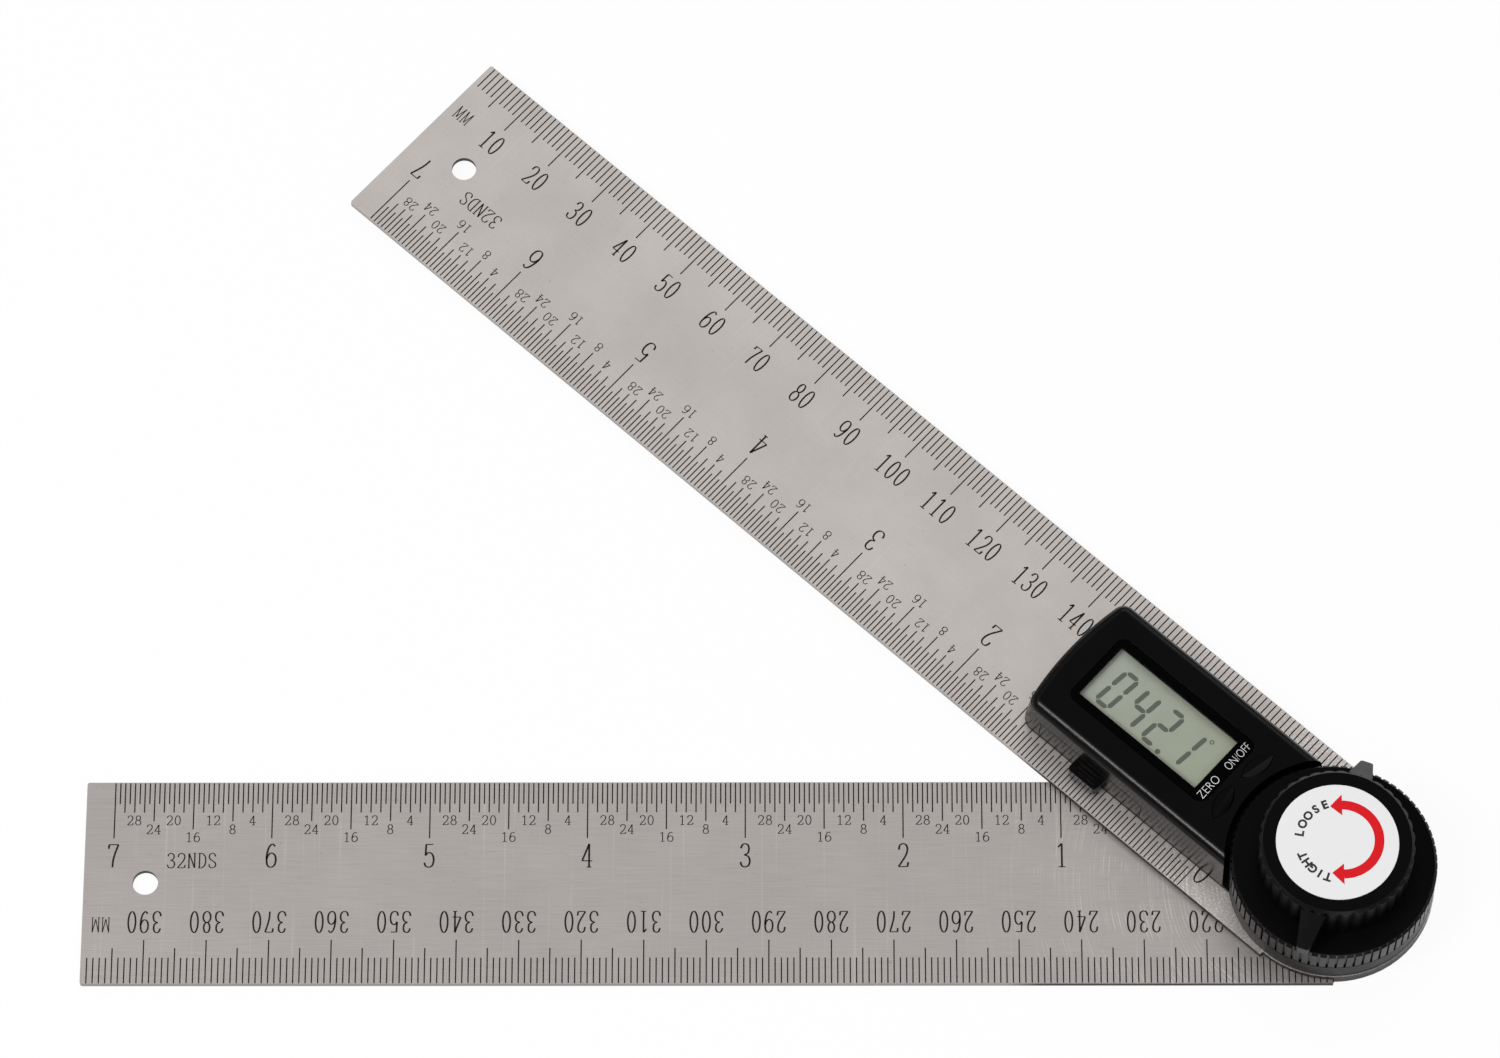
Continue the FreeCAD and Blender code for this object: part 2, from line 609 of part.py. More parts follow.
def lcd_panel():
    """Two bonded glass plates, the rear one with a contact ledge along each long side."""
    x_low, x_high, y_low, y_high = panel_limits()
    middle = (PANEL_TOP + PANEL_BOTTOM) / 2
    ledge = ZEBRA_WIDTH / 2
    rear = block(x_low, x_high, y_low, y_high, PANEL_BOTTOM, middle)
    front = block(x_low, x_high, y_low + ledge, y_high - ledge, middle, PANEL_TOP)
    return join([rear, front])


def lcd_frame():
    """Moulded rim that holds the display glass over the board."""
    outer = block(*panel_limits(PANEL_GAP + FRAME_RIM), BOARD_TOP, PANEL_TOP)
    return outer.cut(block(*panel_limits(PANEL_GAP), BOARD_TOP - CUT, PANEL_TOP + CUT))


def zebra_strips():
    """Two rubber contact strips between the board and the glass."""
    x_low, x_high, y_low, y_high = panel_limits(-PANEL_GAP)
    near = block(x_low, x_high, y_low, y_low + ZEBRA_WIDTH, BOARD_TOP, PANEL_BOTTOM)
    far = block(x_low, x_high, y_high - ZEBRA_WIDTH, y_high, BOARD_TOP, PANEL_BOTTOM)
    return Part.makeCompound([near, far])


def main_board():
    """Display board inside the housing walls, notched for the screw bosses."""
    board = housing_solid(BOARD_BOTTOM, BOARD_TOP, WALL + FACE_GAP)
    board = board.cut(disc(HOUSING_INNER_END + WALL + FACE_GAP, 0, HOUSING_TOP))
    notch = BOSS_RADIUS + FACE_GAP
    for x, y in housing_screw_places():
        outside = HALF_WIDTH if y > 0 else -HALF_WIDTH
        board = board.cut(disc(notch, BOARD_BOTTOM - CUT, BOARD_TOP + CUT, x, y))
        board = board.cut(block(x - notch, x + notch, min(y, outside), max(y, outside),
                                BOARD_BOTTOM - CUT, BOARD_TOP + CUT))
    return board


def controller_chip():
    """Chip soldered under the display board beside the battery tray."""
    half = CHIP_SIZE / 2
    centre_x = -TONGUE_REACH - CHIP_ROOM - half
    return block(centre_x - half, centre_x + half, -half, half, BOARD_BOTTOM - BOARD_THICKNESS,
                 BOARD_BOTTOM)


def board_connector():
    """Stacking connector between the sensor board's tongue and the display board."""
    length = 2 * TONGUE_HALF_WIDTH - 2 * CUT
    body = block(-TONGUE_REACH + FACE_GAP, -TONGUE_REACH + 2 * CUT, -length / 2, length / 2,
                 STATOR_TOP, BOARD_BOTTOM)
    pitch = length / CONNECTOR_SLOTS
    for number in range(CONNECTOR_SLOTS):
        y = -length / 2 + (number + 0.5) * pitch
        body = body.cut(block(-TONGUE_REACH + FACE_GAP + CUT, 0, y - pitch / 5, y + pitch / 5,
                              STATOR_TOP - CUT, BOARD_BOTTOM + CUT))
    return body


def switch_at(angle):
    """Low switch with a round stem, its stem one travel below the button's flange."""
    flange_bottom = SKIN_BOTTOM - BUTTON_FLANGE_THICKNESS
    stem_top = flange_bottom - BUTTON_TRAVEL - RUNNING_FIT
    body_top = (BOARD_TOP + stem_top) / 2
    half = SWITCH_SIZE / 2
    reach = half / 2
    body = block(BUTTON_ORBIT - reach, BUTTON_ORBIT + reach, -half, half, BOARD_TOP, body_top)
    switch = join([body, disc(SWITCH_STEM_RADIUS, body_top, stem_top, BUTTON_ORBIT)])
    return turned(switch, angle)


def tact_switches():
    return Part.makeCompound([switch_at(angle) for angle in button_angles().values()])


def button(angle):
    """Lens-shaped key: a ridge along its chord, a slope toward the pivot, a flange that keeps it in."""
    top = HOUSING_TOP + BUTTON_PROUD
    key = button_outline(0, SKIN_BOTTOM - BUTTON_FLANGE_THICKNESS, top)
    wedge = polygon([V(BUTTON_ORBIT, -2 * BUTTON_HALF_CHORD, top),
                     V(BUTTON_ORBIT - BUTTON_BULGE, -2 * BUTTON_HALF_CHORD, top - BUTTON_SLOPE_DROP),
                     V(BUTTON_ORBIT - BUTTON_BULGE, -2 * BUTTON_HALF_CHORD, top + CUT),
                     V(BUTTON_ORBIT, -2 * BUTTON_HALF_CHORD, top + CUT)])
    key = key.cut(Part.Face(wedge).extrude(V(0, 4 * BUTTON_HALF_CHORD, 0)))
    flange = button_outline(BUTTON_FLANGE, SKIN_BOTTOM - BUTTON_FLANGE_THICKNESS, SKIN_BOTTOM)
    wall_face = disc(HOUSING_INNER_END + WALL + SLIDE_GAP, 0, HOUSING_TOP)
    return turned(join([key, flange.cut(wall_face)]), angle)


# Battery

def battery_tray():
    """Sliding tray whose front closes the slot flush with the leaning flank, with a pull tab."""
    space = battery_space(0, TRAY_FLOOR_BOTTOM, CELL_TOP - RUNNING_FIT)
    tray = space.common(housing_solid(TRAY_FLOOR_BOTTOM, HOUSING_TOP))
    tray = tray.cut(disc(CELL_RADIUS + SLIDE_GAP, CELL_BOTTOM, CELL_TOP + CUT,
                         CELL_CENTRE_X, CELL_CENTRE_Y))
    tab = block(CELL_CENTRE_X - TAB_HALF_WIDTH, CELL_CENTRE_X + TAB_HALF_WIDTH,
                -TAB_REACH, CELL_CENTRE_Y - CELL_RADIUS - SLIDE_GAP,
                TRAY_FLOOR_BOTTOM, TRAY_FLOOR_BOTTOM + TAB_HEIGHT)
    corners = [edge for edge in upright_edges(tab) if edge.CenterOfMass.y < -TAB_REACH + FACE_GAP]
    tab = tab.makeFillet(TAB_CORNER_RADIUS, corners)
    tab_top = TRAY_FLOOR_BOTTOM + TAB_HEIGHT
    for number in range(TAB_GROOVES):
        y = -TAB_REACH + (number + 1) * TAB_GROOVE_PITCH
        groove = block(CELL_CENTRE_X - TAB_GROOVE_HALF_LENGTH, CELL_CENTRE_X + TAB_GROOVE_HALF_LENGTH,
                       y - TAB_GROOVE_WIDTH / 2, y + TAB_GROOVE_WIDTH / 2,
                       tab_top - FACE_GAP, tab_top + CUT)
        tab = tab.cut(groove)
    return join([tray, tab])


def coin_cell():
    """Can with a stepped cap on its upper face."""
    can_top = CELL_TOP - CELL_CAP_STEP
    can = disc(CELL_RADIUS, CELL_BOTTOM, can_top, CELL_CENTRE_X, CELL_CENTRE_Y)
    cap = disc(CELL_CAP_RADIUS, can_top, CELL_TOP, CELL_CENTRE_X, CELL_CENTRE_Y)
    return join([can, cap])


def positive_contact():
    """Leaf soldered to the board, standing beside the cell's can."""
    inner = CELL_CENTRE_Y + CELL_RADIUS + RUNNING_FIT
    half = CONTACT_WIDTH / 2
    return block(CELL_CENTRE_X - half, CELL_CENTRE_X + half, inner, inner + CONTACT_THICKNESS,
                 CELL_BOTTOM, BOARD_BOTTOM)


def negative_contact():
    """Bent leaf under the board, its free end just over the cell's cap."""
    half = CONTACT_WIDTH / 2
    low = CELL_TOP + RUNNING_FIT
    foot_x = CELL_CENTRE_X + CELL_RADIUS / 2
    profile = [(foot_x, BOARD_BOTTOM), (foot_x - CONTACT_WIDTH / 2, BOARD_BOTTOM),
               (CELL_CENTRE_X, low + CONTACT_THICKNESS),
               (CELL_CENTRE_X - CONTACT_WIDTH / 4, low + 2 * CONTACT_THICKNESS),
               (CELL_CENTRE_X - CONTACT_WIDTH / 4, low + CONTACT_THICKNESS),
               (CELL_CENTRE_X, low),
               (foot_x - CONTACT_WIDTH / 2, BOARD_BOTTOM - CONTACT_THICKNESS),
               (foot_x, BOARD_BOTTOM - CONTACT_THICKNESS)]
    wire = polygon([V(x, -half, z) for x, z in profile])
    return Part.Face(wire).extrude(V(0, CONTACT_WIDTH, 0))


# Locking knob

def fluted_wire(height):
    """Closed outline of round lobes that meet in sharp hollows."""
    pitch = 2 * pi / KNOB_LOBES
    hollow = KNOB_RADIUS - KNOB_LOBE_DEPTH
    edges = []

    def point(radius, angle):
        return V(radius * cos(angle), radius * sin(angle), height)

    for number in range(KNOB_LOBES):
        start = number * pitch
        edges.append(Part.Arc(point(hollow, start), point(KNOB_RADIUS, start + pitch / 2),
                              point(hollow, start + pitch)).toShape())
    return Part.Wire(edges)


def knob_envelope():
    """Turned shape that slopes the knob's top edge."""
    body = disc(KNOB_RADIUS + FACE_GAP, KNOB_BOTTOM, KNOB_TOP)
    top_edge = [edge for edge in body.Edges if edge.CenterOfMass.z > KNOB_TOP - FACE_GAP]
    return body.makeChamfer(KNOB_EDGE_BREAK + FACE_GAP, top_edge[:1])


def knob_wing():
    """Tapered fin along +X whose top slopes from the knob's rim to its tip."""
    root = KNOB_RADIUS - KNOB_SKIRT / 2
    tip_top = KNOB_BOTTOM + WING_TIP_HEIGHT
    root_top = KNOB_TOP - WING_ROOT_DROP
    plan = polygon([V(root, -WING_ROOT_WIDTH / 2, KNOB_BOTTOM), V(WING_REACH, -WING_TIP_WIDTH / 2, KNOB_BOTTOM),
                    V(WING_REACH, WING_TIP_WIDTH / 2, KNOB_BOTTOM), V(root, WING_ROOT_WIDTH / 2, KNOB_BOTTOM)])
    fin = prism(plan, KNOB_HEIGHT)
    tip_edges = [edge for edge in upright_edges(fin) if edge.CenterOfMass.x > WING_REACH - FACE_GAP]
    fin = fin.makeFillet(WING_TIP_ROUND, tip_edges)
    above = polygon([V(root - CUT, -WING_ROOT_WIDTH, root_top), V(KNOB_RADIUS, -WING_ROOT_WIDTH, root_top),
                     V(WING_REACH + FACE_GAP, -WING_ROOT_WIDTH, tip_top),
                     V(WING_REACH + FACE_GAP, -WING_ROOT_WIDTH, KNOB_TOP + CUT),
                     V(root - CUT, -WING_ROOT_WIDTH, KNOB_TOP + CUT)])
    return fin.cut(Part.Face(above).extrude(V(0, 2 * WING_ROOT_WIDTH, 0)))


def knob_grip():
    """Fluted cap, hollow and ribbed underneath, with two wings and a seat for the label."""
    grip = prism(fluted_wire(KNOB_BOTTOM), KNOB_HEIGHT).common(knob_envelope())
    cavity_top = KNOB_BOTTOM + KNOB_CAVITY_DEPTH
    cavity_radius = KNOB_RADIUS - KNOB_LOBE_DEPTH - KNOB_SKIRT
    cavity = ring(cavity_radius, KNOB_BOSS_RADIUS, KNOB_BOTTOM - CUT, cavity_top)
    rib = block(KNOB_BOSS_RADIUS - CUT / 2, cavity_radius + CUT / 2, -KNOB_RIB_THICKNESS / 2,
                KNOB_RIB_THICKNESS / 2, KNOB_BOTTOM + CUT, cavity_top + CUT)
    cavity = cavity.cut(Part.makeCompound(copies_about_pivot(rib, KNOB_RIBS)))
    grip = grip.cut(cavity)
    grip = join([grip] + copies_about_pivot(knob_wing(), 2, WING_ANGLE))
    grip = grip.cut(disc(INSERT_RADIUS, KNOB_BOTTOM - CUT, INSERT_TOP))
    return grip.cut(disc(LABEL_SEAT_RADIUS, LABEL_SEAT, KNOB_TOP + CUT))


def knob_insert():
    """Brass insert with a blind bore for the stud."""
    body = disc(INSERT_RADIUS, THRUST_TOP, INSERT_TOP)
    return body.cut(disc(STUD_BORE, THRUST_TOP - CUT, INSERT_TOP - FACE_GAP))


def knob_label():
    return disc(LABEL_RADIUS, LABEL_SEAT, LABEL_SEAT + LABEL_THICKNESS)


def thrust_washer():
    return ring(THRUST_RADIUS, STUD_BORE, WAVE_TOP, THRUST_TOP)


def wave_washer():
    """Spring washer whose height follows a sine around the pivot."""
    swing = (WAVE_HEIGHT - WAVE_METAL) / 2
    middle = THRUST_SEAT + WAVE_HEIGHT / 2
    sections = []
    for number in range(WAVE_SECTIONS + 1):
        angle = 2 * pi * number / WAVE_SECTIONS
        height = middle + swing * sin(WAVE_COUNT * angle)
        low = height - WAVE_METAL / 2
        high = height + WAVE_METAL / 2
        corners = [(WAVE_INNER_RADIUS, low), (WAVE_OUTER_RADIUS, low),
                   (WAVE_OUTER_RADIUS, high), (WAVE_INNER_RADIUS, high)]
        sections.append(polygon([V(radius * cos(angle), radius * sin(angle), z)
                                 for radius, z in corners]))
    half = WAVE_SECTIONS // 2
    first = Part.makeLoft(sections[:half + 1], True, True)
    second = Part.makeLoft(sections[half:], True, True)
    return join([first, second])


LOWER_ARM = {
    "lower_blade": lower_blade,
    "pivot_hub": pivot_hub,
    "pivot_stud": pivot_stud,
    "hub_screws": hub_screws,
    "slip_washer": slip_washer,
    "grip_disc": grip_disc,
    "rotor_board": rotor_board,
    "wave_washer": wave_washer,
    "thrust_washer": thrust_washer,
    "knob_grip": knob_grip,
    "knob_insert": knob_insert,
    "knob_label": knob_label,
}

UPPER_ARM = {
    "upper_blade": upper_blade,
    "friction_washer": friction_washer,
    "housing_base": housing_base,
    "housing_cover": housing_cover,
    "housing_screws": housing_screws,
    "stator_board": stator_board,
    "main_board": main_board,
    "controller_chip": controller_chip,
    "board_connector": board_connector,
    "tact_switches": tact_switches,
    "lcd_frame": lcd_frame,
    "zebra_strips": zebra_strips,
    "lcd_panel": lcd_panel,
    "display_lens": display_lens,
    "positive_contact": positive_contact,
    "negative_contact": negative_contact,
    "battery_tray": battery_tray,
    "coin_cell": coin_cell,
}

for name, make in LOWER_ARM.items():
    make().exportStep("parts/" + name + ".step")

for name, make in UPPER_ARM.items():
    at_open_angle(make()).exportStep("parts/" + name + ".step")

for name, angle in button_angles().items():
    at_open_angle(button(angle)).exportStep("parts/" + name + ".step")
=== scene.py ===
from math import cos, hypot, pi, radians, sin

import bpy
from mathutils import Matrix, Vector


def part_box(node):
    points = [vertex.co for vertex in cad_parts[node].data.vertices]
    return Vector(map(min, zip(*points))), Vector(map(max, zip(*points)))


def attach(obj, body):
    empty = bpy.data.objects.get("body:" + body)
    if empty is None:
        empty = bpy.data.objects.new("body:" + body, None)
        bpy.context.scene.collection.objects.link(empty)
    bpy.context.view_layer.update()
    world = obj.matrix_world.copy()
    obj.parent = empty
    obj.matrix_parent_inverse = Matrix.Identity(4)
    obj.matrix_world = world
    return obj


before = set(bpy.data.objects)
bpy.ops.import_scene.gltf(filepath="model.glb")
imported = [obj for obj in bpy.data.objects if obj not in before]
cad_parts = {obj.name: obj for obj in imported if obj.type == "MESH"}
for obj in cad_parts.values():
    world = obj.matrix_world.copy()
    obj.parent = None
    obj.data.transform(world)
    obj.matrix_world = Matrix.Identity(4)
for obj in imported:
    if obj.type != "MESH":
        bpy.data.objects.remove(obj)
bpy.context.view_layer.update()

# Digital protractor: materials, scale marks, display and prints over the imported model.
#
# Sizes below are millimetres and become metres where a mesh is made. "Arm coordinates" have the
# pivot at the origin, the rule along -X and its millimetre edge on the side named in each call.

MM = 0.001
OPEN_ANGLE = radians(42.1)
LOWER_ARM = Matrix.Identity(4)
UPPER_ARM = Matrix.Rotation(-OPEN_ANGLE, 4, "Z")

RULE_LENGTH = 200
RULE_HALF_WIDTH = 17.3
HOLE_FROM_PIVOT = 190.1
PRINT_LIFT = 0.012


def top_of(node):
    """Height of a node's upper side in millimetres."""
    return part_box(node)[1].z / MM


# Camera

PHOTO_WIDTH = 1500
FOCAL_PIXELS = 7271.583
SENSOR_WIDTH = 36.0
CAMERA_PITCH = radians(-23.88)
CAMERA_YAW = radians(-0.301)
CAMERA_ROLL = radians(-0.07)
PIVOT_FROM_CAMERA = Vector((93.029, -57.016, -1167.209))


def photo_camera():
    """Camera of the photograph, found from the marks of the two rules."""
    into_view = (Matrix.Rotation(CAMERA_ROLL, 3, "Z")
                 @ Matrix.Rotation(CAMERA_PITCH, 3, "X")
                 @ Matrix.Rotation(CAMERA_YAW, 3, "Y"))
    out_of_view = into_view.transposed()
    data = bpy.data.cameras.new("photo_camera")
    data.sensor_fit = "HORIZONTAL"
    data.sensor_width = SENSOR_WIDTH
    data.lens = FOCAL_PIXELS * SENSOR_WIDTH / PHOTO_WIDTH
    data.clip_start = 0.05
    data.clip_end = 20
    camera = bpy.data.objects.new("photo_camera", data)
    place = -(out_of_view @ PIVOT_FROM_CAMERA) * MM
    camera.matrix_world = Matrix.Translation(place) @ out_of_view.to_4x4()
    bpy.context.scene.collection.objects.link(camera)
    bpy.context.scene.camera = camera


# Materials

class Surface:
    """A material with one Principled shader and the textures that drive it."""

    def __init__(self, name, **sockets):
        self.made = bpy.data.materials.new(name)
        self.made.use_nodes = True
        self.tree = self.made.node_tree
        self.shader = self.tree.nodes["Principled BSDF"]
        for socket, value in sockets.items():
            self.shader.inputs[socket.replace("_", " ")].default_value = value
        self.place = self.add("ShaderNodeTexCoord").outputs["Object"]

    def add(self, kind, **inputs):
        """New node; each input is a value or another node's output."""
        node = self.tree.nodes.new(kind)
        for socket, value in inputs.items():
            self.set(node.inputs[socket.replace("_", " ")], value)
        return node

    def set(self, socket, value):
        if isinstance(value, bpy.types.NodeSocket):
            self.tree.links.new(value, socket)
        else:
            socket.default_value = value

    def turned(self, angle, scale):
        """Object coordinates turned about +Z and stretched."""
        turn = self.add("ShaderNodeMapping", Vector=self.place, Rotation=(0, 0, angle))
        return self.add("ShaderNodeMapping", Vector=turn.outputs["Vector"],
                        Scale=scale).outputs["Vector"]

    def noise(self, place, scale, detail=3.0, roughness=0.6):
        return self.add("ShaderNodeTexNoise", Vector=place, Scale=scale, Detail=detail,
                        Roughness=roughness).outputs["Fac"]

    def ramp(self, value, low, high, low_end=0.3, high_end=0.7):
        """Value mapped from between two ends to between two results."""
        node = self.add("ShaderNodeMapRange", Value=value, From_Min=low_end, From_Max=high_end,
                        To_Min=low, To_Max=high)
        return node.outputs["Result"]

    def colors(self, value, low, high):
        """Colour between two colours."""
        node = self.add("ShaderNodeMix")
        node.data_type = "RGBA"
        self.set(node.inputs[0], value)
        self.set(node.inputs[6], (*low, 1))
        self.set(node.inputs[7], (*high, 1))
        return node.outputs[2]

    def upward(self):
        """Height share of the facing direction: one on level faces and nought on walls."""
        facing = self.add("ShaderNodeNewGeometry").outputs["Normal"]
        return self.add("ShaderNodeSeparateXYZ", Vector=facing).outputs["Z"]

    def distance(self, place, centre):
        node = self.add("ShaderNodeVectorMath")
        node.operation = "DISTANCE"
        self.set(node.inputs[0], place)
        self.set(node.inputs[1], centre)
        return node.outputs["Value"]

    def product(self, first, second):
        node = self.add("ShaderNodeMath")
        node.operation = "MULTIPLY"
        self.set(node.inputs[0], first)
        self.set(node.inputs[1], second)
        return node.outputs[0]

    def tinted(self, color, value):
        """Colour multiplied by a grey value."""
        node = self.add("ShaderNodeVectorMath")
        node.operation = "SCALE"
        self.set(node.inputs[0], color)
        self.set(node.inputs["Scale"], value)
        return node.outputs["Vector"]

    def drive(self, socket, value):
        self.tree.links.new(value, self.shader.inputs[socket])

    def bump(self, height, distance, strength, normal=None):
        node = self.add("ShaderNodeBump", Height=height, Distance=distance, Strength=strength)
        if normal is not None:
            self.set(node.inputs["Normal"], normal)
        self.drive("Normal", node.outputs["Normal"])


def grey(value):
    return (value, value, value)


def warm_grey(value):
    """Grey of worn stainless steel, faintly pink."""
    return (1.07 * value, value, 0.96 * value)


# Stretches of the steel's noise, per metre along and across the rule, and scales that are the
# same each way. The distances from the pivot are metres.
GRAIN_STRETCH = (130, 4200, 1)
SCRATCH_STRETCH = (1500, 22, 1)
FLECK_STRETCH = (2200, 5200, 1)
CLOUD_SCALE = 60
SPECK_SCALE = 1500
PATCH_SCALE = 170
ARC_SCALE = 3000
# Rubbed wear and flecks near the pivot, painted lighter as glints, fade out between these distances.
GLINT_WEAR_INSIDE = 0.026
GLINT_WEAR_OUTSIDE = 0.06
WEAR_GLINT = 1.45
SPECK_DARK = 0.84
# Painted shade on the rules' upright faces: its tones, and the distances from the pivot and the hole
# where it is deepest.
DEEP_EDGE_SHADE = 0.1
DEEP_SHADE_INSIDE = 0.05
DEEP_SHADE_OUTSIDE = 0.055
DEEP_SHADE_AT_HOLE = 0.004
SHADE_FADES_AT_HOLE = 0.0045
UPRIGHT_SHADE = 0.85


def worn_light(surface, from_pivot, near_pivot):
    """Rubbed arcs where the other rule wears the steel, in patches near the pivot, painted lighter
    as a glint.
    """
    rings = surface.add("ShaderNodeCombineXYZ", X=from_pivot).outputs["Vector"]
    arcs = surface.ramp(surface.noise(rings, ARC_SCALE, 2.0), 0.0, 1.0, 0.5, 0.62)
    patches = surface.noise(surface.place, PATCH_SCALE, 2.0)
    patch = surface.product(near_pivot, surface.ramp(patches, 0.0, 1.0, 0.45, 0.6))
    return surface.ramp(surface.product(patch, arcs), 1.0, WEAR_GLINT, 0.0, 1.0)


def edge_tone(surface, turn, from_pivot):
    """Painted shade on the upright faces, deepest in the hanging hole and where the rules cross."""
    centre = Matrix.Rotation(-turn, 3, "Z") @ Vector((-HOLE_FROM_PIVOT * MM, 0, 0))
    from_hole = surface.distance(surface.place, centre)
    edge = surface.product(
        surface.ramp(from_pivot, DEEP_EDGE_SHADE, 1.0, DEEP_SHADE_INSIDE, DEEP_SHADE_OUTSIDE),
        surface.ramp(from_hole, DEEP_EDGE_SHADE, UPRIGHT_SHADE, DEEP_SHADE_AT_HOLE, SHADE_FADES_AT_HOLE))
    return surface.ramp(surface.upward(), edge, 1.0, 0.3, 0.8)


def rule_steel(name, turn, light, grain_depth, cloud_depth, scratch_light, fleck_glint):
    """Satin stainless rule: grain along its length, clouds, stray scratches and worn flecks painted
    lighter as glints.
    """
    surface = Surface(name, Metallic=1.0)
    grain = surface.noise(surface.turned(turn, GRAIN_STRETCH), 1.0)
    scratch = surface.noise(surface.turned(turn, SCRATCH_STRETCH), 1.0, 2.0)
    cloud = surface.noise(surface.place, CLOUD_SCALE, 5.0)
    speck = surface.noise(surface.place, SPECK_SCALE, 1.0)
    from_pivot = surface.distance(surface.place, (0, 0, 0))
    near_pivot = surface.ramp(from_pivot, 1.0, 0.0, GLINT_WEAR_INSIDE, GLINT_WEAR_OUTSIDE)
    # Rubbed flecks near the pivot, painted lighter as glints.
    fleck = surface.product(near_pivot, surface.noise(surface.turned(turn, FLECK_STRETCH), 1.0))
    tone = surface.ramp(grain, 1.0 - grain_depth, 1.0 + grain_depth)
    for share in (surface.ramp(cloud, 1.0 - cloud_depth, 1.0 + cloud_depth),
                  surface.ramp(scratch, 1.0, scratch_light, 0.6, 0.7),
                  worn_light(surface, from_pivot, near_pivot),
                  surface.ramp(speck, SPECK_DARK, 1.0, 0.2, 0.26),
                  surface.ramp(fleck, 1.0, fleck_glint, 0.5, 0.68),
                  # painted shade on the upright faces
                  edge_tone(surface, turn, from_pivot)):
        tone = surface.product(tone, share)
    color = surface.colors(cloud, warm_grey(light), warm_grey(0.98 * light))
    surface.drive("Base Color", surface.tinted(color, tone))
    surface.drive("Roughness", surface.ramp(grain, 0.46, 0.54))
    surface.bump(surface.product(grain, scratch), 0.00002, 0.2)
    return surface.made


def moulded(name, color, roughness, shine, grain=0.00025, depth=0.00001, edge=0.00012):
    """Moulded plastic with softened edges and one shine all over."""
    surface = Surface(name, Specular_IOR_Level=shine)
    texture = surface.noise(surface.place, 1 / grain, 2.0)
    wear = surface.noise(surface.place, 160, 5.0)
    surface.drive("Base Color", surface.colors(wear, color, tuple(1.35 * c for c in color)))
    surface.drive("Roughness", surface.ramp(wear, roughness - 0.05, roughness + 0.05))
    softened = surface.add("ShaderNodeBevel", Radius=edge).outputs["Normal"]
    surface.bump(texture, depth, 0.6, softened)
    return surface


def black_moulding(name, tone, roughness, shine, **finish):
    """Black plastic whose shine is given for walls, slopes and level faces."""
    wall, slope, level = shine
    surface = moulded(name, grey(tone), roughness, slope, **finish)
    upward = surface.upward()
    toward_slope = surface.ramp(upward, wall, slope, 0.15, 0.35)
    toward_level = surface.ramp(upward, 1.0, level / slope, 0.94, 0.995)
    surface.drive("Specular IOR Level", surface.product(toward_slope, toward_level))
    return surface.made


def turned_metal(name, color, roughness):
    """Lathe-turned metal with rings about the pivot axis."""
    surface = Surface(name, Metallic=1.0)
    rings = surface.add("ShaderNodeTexWave", Vector=surface.place, Scale=900.0, Distortion=1.5)
    rings.wave_type = "RINGS"
    rings.rings_direction = "Z"
    stain = surface.noise(surface.place, 220, 4.0)
    surface.drive("Base Color", surface.colors(stain, tuple(0.85 * c for c in color), color))
    surface.drive("Roughness", surface.ramp(stain, roughness - 0.05, roughness + 0.08))
    surface.bump(rings.outputs["Fac"], 0.00001, 0.3)
    return surface.made


def circuit_board(name):
    """Solder mask over faint copper tracks."""
    surface = Surface(name, Specular_IOR_Level=0.5, Roughness=0.35)
    tracks = surface.add("ShaderNodeTexBrick", Vector=surface.place, Scale=260.0, Mortar_Size=0.03)
    surface.drive("Base Color", surface.colors(tracks.outputs["Fac"], (0.012, 0.10, 0.035),
                                               (0.03, 0.19, 0.07)))
    surface.bump(tracks.outputs["Fac"], 0.00003, 0.4)
    return surface.made


def display_glass(name):
    """Grey-green liquid-crystal cell, a little more olive toward the pivot end."""
    surface = Surface(name, Roughness=0.3, Specular_IOR_Level=0.3)
    arm = surface.turned(OPEN_ANGLE, (1, 1, 1))
    along = surface.add("ShaderNodeSeparateXYZ", Vector=arm).outputs["X"]
    share = surface.ramp(along, 0.0, 1.0, -0.05, -0.023)
    cloud = surface.noise(surface.place, 300, 3.0)
    color = surface.colors(share, (0.395, 0.408, 0.36), (0.375, 0.39, 0.305))
    surface.drive("Base Color", surface.tinted(color, surface.ramp(cloud, 0.97, 1.03)))
    return surface.made


def clear_window(name):
    """Thin clear window: light passes straight through and its outer side has a weak shine."""
    made = bpy.data.materials.new(name)
    made.use_nodes = True
    tree = made.node_tree
    tree.nodes.remove(tree.nodes["Principled BSDF"])
    through = tree.nodes.new("ShaderNodeBsdfTransparent")
    through.inputs["Color"].default_value = (0.95, 0.96, 0.95, 1)
    shine = tree.nodes.new("ShaderNodeBsdfGlossy")
    shine.inputs["Roughness"].default_value = 0.06
    edge = tree.nodes.new("ShaderNodeFresnel")
    edge.inputs["IOR"].default_value = 1.25
    side = tree.nodes.new("ShaderNodeNewGeometry")
    outer = tree.nodes.new("ShaderNodeMapRange")
    tree.links.new(side.outputs["Backfacing"], outer.inputs["Value"])
    tree.links.new(edge.outputs["Fac"], outer.inputs["To Min"])
    outer.inputs["To Max"].default_value = 0.0
    mix = tree.nodes.new("ShaderNodeMixShader")
    tree.links.new(outer.outputs["Result"], mix.inputs[0])
    tree.links.new(through.outputs[0], mix.inputs[1])
    tree.links.new(shine.outputs[0], mix.inputs[2])
    tree.links.new(mix.outputs[0], tree.nodes["Material Output"].inputs["Surface"])
    return made


